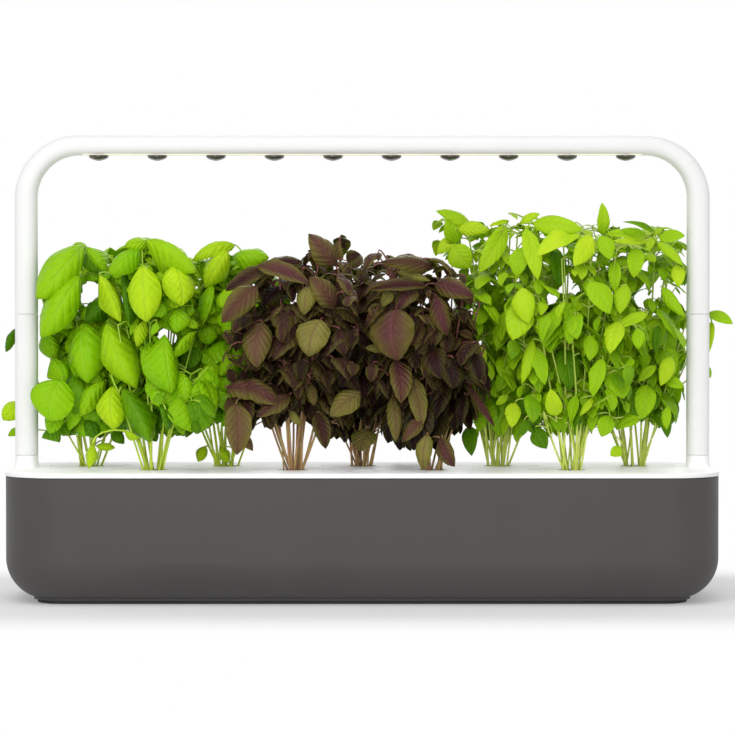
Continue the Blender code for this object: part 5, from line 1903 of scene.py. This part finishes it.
    def fill(self, herb: Herb, plant: Plant) -> None:
        """Clothe every stem with pairs of leaves, with smaller ones in their axils and at its tip."""
        chance = random.Random(plant.number * 31)
        for stem, points in enumerate(plant.stems):
            travelled, order = 0.0, chance.randrange(2)
            for step in range(5, len(points)):
                node = points[step]
                travelled += (node - points[step - 1]).length
                share = (node.z - LID_TOP) / (herb.top - LID_TOP)
                if travelled < herb.gap * (1.15 - 0.4 * share):
                    continue
                travelled = 0.0
                order += 1
                turn = (order + 0.5) * math.pi / 2 + chance.uniform(-0.35, 0.35)
                for side in (0, math.pi):
                    grown = self.add_leaf(herb, plant, node, turn + side, 1.0)
                    grown |= self.add_leaf(herb, plant, node, turn + side + chance.uniform(0.5, 1.1), 0.55)
                    if grown:
                        plant.used[stem] = step
            for side in range(4):
                if self.add_leaf(herb, plant, points[-1], side * math.pi / 2 + order, 0.45 + 0.15 * (side % 2)):
                    plant.used[stem] = len(points) - 1
        self.thicken(herb, plant, chance)
        self.join(plant)
        for points, used, girth in zip(plant.stems, plant.used, plant.girths):
            tip = girth + (0.7 * MM - girth) * used / (len(points) - 1)
            plant.paths.append((points[: used + 1], girth, tip))

    def thicken(self, herb: Herb, plant: Plant, chance: random.Random) -> None:
        """Fill what is still thin between the stems with more leaves on stalks of their own."""
        middle = to_photo(Vector((*plant.place, 0)))[0]
        heights = [y for _, y in herb.outline]
        grown = 0
        for _ in range(herb.extra * 7):
            pixel = (middle + chance.uniform(-75, 75), chance.uniform(min(heights), max(heights)))
            spot = from_photo(pixel, plant.place[1] + chance.uniform(-66, 66) * MM)
            away = (spot.y - plant.place[1], 0.4 * (spot.x - plant.place[0]))
            heading = math.atan2(*away) + chance.uniform(-0.8, 0.8)
            if self.space.holds(spot, plant.number) and encloses(herb.outline, pixel):
                grown += self.add_leaf(herb, plant, spot, heading, chance.uniform(0.6, 1.0), False)
            if grown == herb.extra:
                break

    def finish_plant(self, herb: Herb, plant: Plant, finishes: Sequence[Material]) -> None:
        """Turn a plant's leaves and stems into two meshes that ride on its pod."""
        leaf_finish, stem_finish = finishes
        carrier = bpy.data.meshes.new(f"leaf_points_{plant.number}")
        carrier.from_pydata([leaf.foot for leaf in plant.leaves], [], [])
        turns = [angle for leaf in plant.leaves for angle in leaf.turn.to_euler()]
        sizes = [size for leaf in plant.leaves for size in (leaf.width, leaf.length, leaf.length)]
        set_points(carrier, "turn", "FLOAT_VECTOR", turns)
        set_points(carrier, "size", "FLOAT_VECTOR", sizes)
        set_points(carrier, "kind", "INT", [leaf.kind for leaf in plant.leaves])
        # Each leaf's painted light and shade, which its finish reads as the shade attribute
        set_points(carrier, "shade", "FLOAT", [leaf.shade for leaf in plant.leaves])
        blades = bpy.data.collections[f"{herb.name}_blades"]
        values = {"Blades": blades, "Finish": leaf_finish}
        name = f"plant_{plant.number}_leaves"
        leaves = show(name, run_tree(self.leaf_tree, values, name, carrier), 60)
        body, node = f"pod_{plant.number}", f"plant_{plant.number}"
        mount(leaves, body, leaf_finish, [node])
        lines = bpy.data.meshes.new(f"stem_lines_{plant.number}")
        verts, edges, radii = [], [], []
        for points, foot, tip in plant.paths:
            first = len(verts)
            verts += points
            edges += [(first + i, first + i + 1) for i in range(len(points) - 1)]
            radii += [foot + (tip - foot) * i / (len(points) - 1) for i in range(len(points))]
        lines.from_pydata(verts, edges, [])
        set_points(lines, "thickness", "FLOAT", radii)
        name = f"plant_{plant.number}_stems"
        stems = show(name, run_tree(self.tube_tree, {"Sides": 7, "Finish": stem_finish}, name, lines), 60)
        mount(stems, body, stem_finish, [node])
        LOG.info("plant %d: %d leaves, %d stalks", plant.number, len(plant.leaves), len(plant.paths))

    def grow(self, herb: Herb, seen: Sequence[Sequence[float]], shared: SharedNodes) -> None:
        """Grow a herb in all its pods."""
        self.set_moods(herb)
        blades = bpy.data.collections.new(f"{herb.name}_blades")
        for kind, mood in enumerate(self.moods):
            name = f"{herb.name}_blade_{kind}"
            blades.objects.link(bpy.data.objects.new(name, herb.blade.mesh(name, mood)))
        plants = [self.plants[number] for number in herb.pods]
        for plant in plants:
            self.grow_stems(herb, plant)
        self.place_seen(herb, seen)
        finishes = (herb.leaf.build(shared), herb.stem.build(shared))
        for plant in plants:
            self.fill(herb, plant)
            self.finish_plant(herb, plant, finishes)
        for blade in list(blades.objects):
            bpy.data.objects.remove(blade, do_unlink=True)
        bpy.data.collections.remove(blades)


def set_points(mesh: Mesh, name: str, kind: str, values: Sequence[float]) -> None:
    """Give a mesh's points an attribute."""
    data = mesh.attributes.new(name, kind, "POINT").data
    data.foreach_set("vector" if kind == "FLOAT_VECTOR" else "value", values)


def build_leaf_tree() -> NodeTree:
    """A tree that sets one of a herb's blades on each point, by the point's own turn, size and kind."""
    sockets = (("Blades", "NodeSocketCollection"), ("Finish", "NodeSocketMaterial"))
    tree, start = geometry_tree("Leaves on points", sockets)
    turn = tree.add("GeometryNodeInputNamedAttribute", {"Name": "turn"}, data_type="FLOAT_VECTOR").outputs[0]
    size = tree.add("GeometryNodeInputNamedAttribute", {"Name": "size"}, data_type="FLOAT_VECTOR").outputs[0]
    kind = tree.add("GeometryNodeInputNamedAttribute", {"Name": "kind"}, data_type="INT").outputs[0]
    children = {"Collection": start["Blades"], "Separate Children": True, "Reset Children": True}
    blades = tree.add("GeometryNodeCollectionInfo", children).outputs[0]
    points = tree.add("GeometryNodeMeshToPoints", {"Mesh": start["Geometry"]}).outputs[0]
    spin = tree.add("FunctionNodeEulerToRotation", {0: turn}).outputs[0]
    spread = {"Points": points, "Instance": blades, "Pick Instance": True, "Instance Index": kind}
    leaves = tree.add("GeometryNodeInstanceOnPoints", {**spread, "Rotation": spin, "Scale": size})
    real = tree.add("GeometryNodeRealizeInstances", {0: leaves.outputs[0]})
    return close_tree(tree, real.outputs[0], start)


def build_tube_tree() -> NodeTree:
    """A tree that turns lines into tapering tubes, by each point's own thickness."""
    sockets = (("Sides", "NodeSocketInt"), ("Finish", "NodeSocketMaterial"))
    tree, start = geometry_tree("Tubes on lines", sockets)
    curve = tree.add("GeometryNodeMeshToCurve", {"Mesh": start["Geometry"]}).outputs[0]
    thickness = tree.add("GeometryNodeInputNamedAttribute", {"Name": "thickness"}, data_type="FLOAT").outputs[0]
    round_section = {"Resolution": start["Sides"], "Radius": 1.0}
    section = tree.add("GeometryNodeCurvePrimitiveCircle", round_section).outputs[0]
    skin = {"Curve": curve, "Profile Curve": section, "Scale": thickness, "Fill Caps": True}
    tubes = tree.add("GeometryNodeCurveToMesh", skin).outputs[0]
    real = tree.add("GeometryNodeRealizeInstances", {0: tubes})
    return close_tree(tree, real.outputs[0], start)


# ---- carried-over nodes and stage


def dress_nodes(paint: dict[Paint, Material]) -> None:
    """Give the small parts inside the lid and the posts their finishes."""
    finishes = {
        "board_tray": Paint.INLET,
        "timer_board": Paint.BOARD,
        "tray_screw_1": Paint.SCREW,
        "tray_screw_2": Paint.SCREW,
        "socket_jack": Paint.CONTACT,
        "arm_connector": Paint.CONTACT,
        "lamp_plug": Paint.CONTACT,
        "led_board": Paint.BOARD,
    }
    for name, finish in finishes.items():
        node = frame["nodes"][name]
        for slot in node.material_slots:
            slot.link = "OBJECT"
            slot.material = paint[finish]
        LOG.info("%s keeps its shape, in %s", name, finish.value.name)


@dataclass
class Studio:
    """The camera, the lamps, the white world and the pale floor."""

    tilt: float = math.radians(1.248)
    pan: float = -0.00184
    floor_half: float = 6.0
    floor_colour: Colour = (0.96, 0.96, 0.96)
    floor_glow: float = 0.22
    floor_core: Point2 = (0.30, 0.08)
    floor_fade: Point2 = (0.02, 0.22)
    world_light: float = 0.53

    def build(self) -> None:
        """Set everything up."""
        scene = bpy.context.scene
        scene.view_settings.view_transform = "Standard"
        camera = bpy.data.cameras.new("camera")
        camera.sensor_width = SENSOR
        camera.lens = SENSOR * VIEW_FOCUS / PHOTO_SIDE
        camera.clip_end = 100
        eye = bpy.data.objects.new("camera", camera)
        eye.location = (0, -VIEW_DISTANCE, VIEW_HEIGHT)
        eye.rotation_euler = (math.pi / 2 - self.tilt, 0, self.pan)
        scene.collection.objects.link(eye)
        scene.camera = eye
        self.light_world(scene)
        self.lamp("lamp_above", (-0.3, -0.9, 1.9), (0, 0, 0.25), 1.2, 5)
        self.lamp("lamp_front", (-0.4, -2.0, 1.8), (0, 0, 0.10), 1.4, 15)
        self.lamp("lamp_low", (-0.3, -2.9, 0.2), (0, 0, 0.15), 1.2, 23)
        self.lamp("lamp_back", (0.3, 2.4, 1.5), (0, 0, 0.25), 1.6, 12)
        self.lay_floor()

    def light_lid(self, pale: Sequence[Material], tube: Material) -> None:
        """Hang a lamp that brings the lid the light that the foliage would keep from it."""
        self.lamp("lamp_lid", (0, -0.5, 1.5), (0, 0, 0.1), 0.9, 8)
        linking = bpy.data.objects["lamp_lid"].light_linking
        linking.receiver_collection = bpy.data.collections.new("lit_by_lid_lamp")
        linking.blocker_collection = bpy.data.collections.new("shading_lid_lamp")
        for thing in bpy.context.scene.objects:
            material = thing.active_material if thing.type == "MESH" else None
            if material in pale:
                linking.receiver_collection.objects.link(thing)
            if material in pale or material == tube:
                linking.blocker_collection.objects.link(thing)

    def light_world(self, scene: Scene) -> None:
        """White behind everything, and an even soft light on the object."""
        world = bpy.data.worlds.new("studio")
        world.use_nodes = True
        scene.world = world
        tree = Tree(world.node_tree)
        back = world.node_tree.nodes["Background"]
        rays = tree.add("ShaderNodeLightPath").outputs
        seen = tree.math("MAXIMUM", rays["Is Camera Ray"], rays["Is Glossy Ray"])
        seen = tree.math("MAXIMUM", seen, rays["Is Transmission Ray"])
        strength = tree.ease(seen, 0, 1, self.world_light, 1.0)
        back.inputs["Color"].default_value = (1, 1, 1, 1)
        tree.link(strength, back.inputs["Strength"])

    def lamp(self, name: str, place: Sequence[float], aim: Sequence[float], size: float, power: float) -> None:
        """Hang a soft square lamp."""
        light = bpy.data.lights.new(name, "AREA")
        light.size = size
        light.energy = power
        lamp = bpy.data.objects.new(name, light)
        lamp.location = place
        lamp.rotation_euler = (Vector(aim) - Vector(place)).to_track_quat("-Z", "Y").to_euler()
        bpy.context.scene.collection.objects.link(lamp)

    def lay_floor(self) -> None:
        """Lay a floor that keeps the object's shadow close by and is plain white further off."""
        bm = bmesh.new()
        half = self.floor_half
        corners = ((-half, -half), (half, -half), (half, half), (-half, half))
        bm.faces.new([bm.verts.new((x, y, 0)) for x, y in corners])
        floor = new_piece("floor", bm)
        material = bpy.data.materials.new("floor")
        material.use_nodes = True
        tree = Tree(material.node_tree)
        material.node_tree.nodes.remove(material.node_tree.nodes["Principled BSDF"])
        place = tree.add("ShaderNodeSeparateXYZ", {0: tree.add("ShaderNodeTexCoord").outputs["Object"]}).outputs
        squares = []
        for axis, core in enumerate(self.floor_core):
            beyond = tree.math("SUBTRACT", tree.math("ABSOLUTE", place[axis]), core)
            squares.append(tree.math("POWER", tree.math("MAXIMUM", beyond, 0.0), 2.0))
        far = tree.ease(tree.math("SQRT", tree.math("ADD", *squares)), *self.floor_fade)
        rays = tree.add("ShaderNodeLightPath").outputs
        seen = tree.math("MAXIMUM", rays["Is Camera Ray"], rays["Is Glossy Ray"])
        seen = tree.math("MAXIMUM", seen, rays["Is Transmission Ray"])
        share = tree.math("MAXIMUM", tree.math("MULTIPLY", far, seen), self.floor_glow)
        matt = tree.add("ShaderNodeBsdfDiffuse", {"Color": (*self.floor_colour, 1)})
        white = tree.add("ShaderNodeEmission", {"Color": (1, 1, 1, 1), "Strength": 1.0})
        mix = tree.add("ShaderNodeMixShader", {0: share, 1: matt.outputs[0], 2: white.outputs[0]})
        tree.link(mix.outputs[0], material.node_tree.nodes["Material Output"].inputs["Surface"])
        floor.data.materials.append(material)


def main() -> None:
    """Build the stage, then every sub-assembly in order."""
    logging.basicConfig(level=logging.INFO, format="%(name)s: %(message)s")
    studio = Studio()
    studio.build()
    shared = SharedNodes()
    paint = {finish: finish.value.build(shared) for finish in Paint}
    tank, post, pods = WaterTank(), Post(), Pods()
    sites = {number: pods.place(number) for number in range(1, POD_COUNT + 1)}
    tank.build(paint)
    Lid(post, tank).build(paint, list(sites.values()))
    Lamp(post).build(paint)
    pods.build(paint)
    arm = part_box("extension_arm_right")
    lens_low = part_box("lens_1")[0].z
    space = PlantSpace(sites, arm[0].x - 3 * MM, lens_low - 52 * MM - 3 * MM)
    garden = Garden(space)
    for herb, seen in ((SWEET, SWEET_SEEN), (PURPLE, PURPLE_SEEN), (LEMON, LEMON_SEEN)):
        garden.grow(herb, seen, shared)
    dress_nodes(paint)
    studio.light_lid((paint[Paint.LID], paint[Paint.CUP]), paint[Paint.TUBE])


if __name__ == "__main__":
    main()
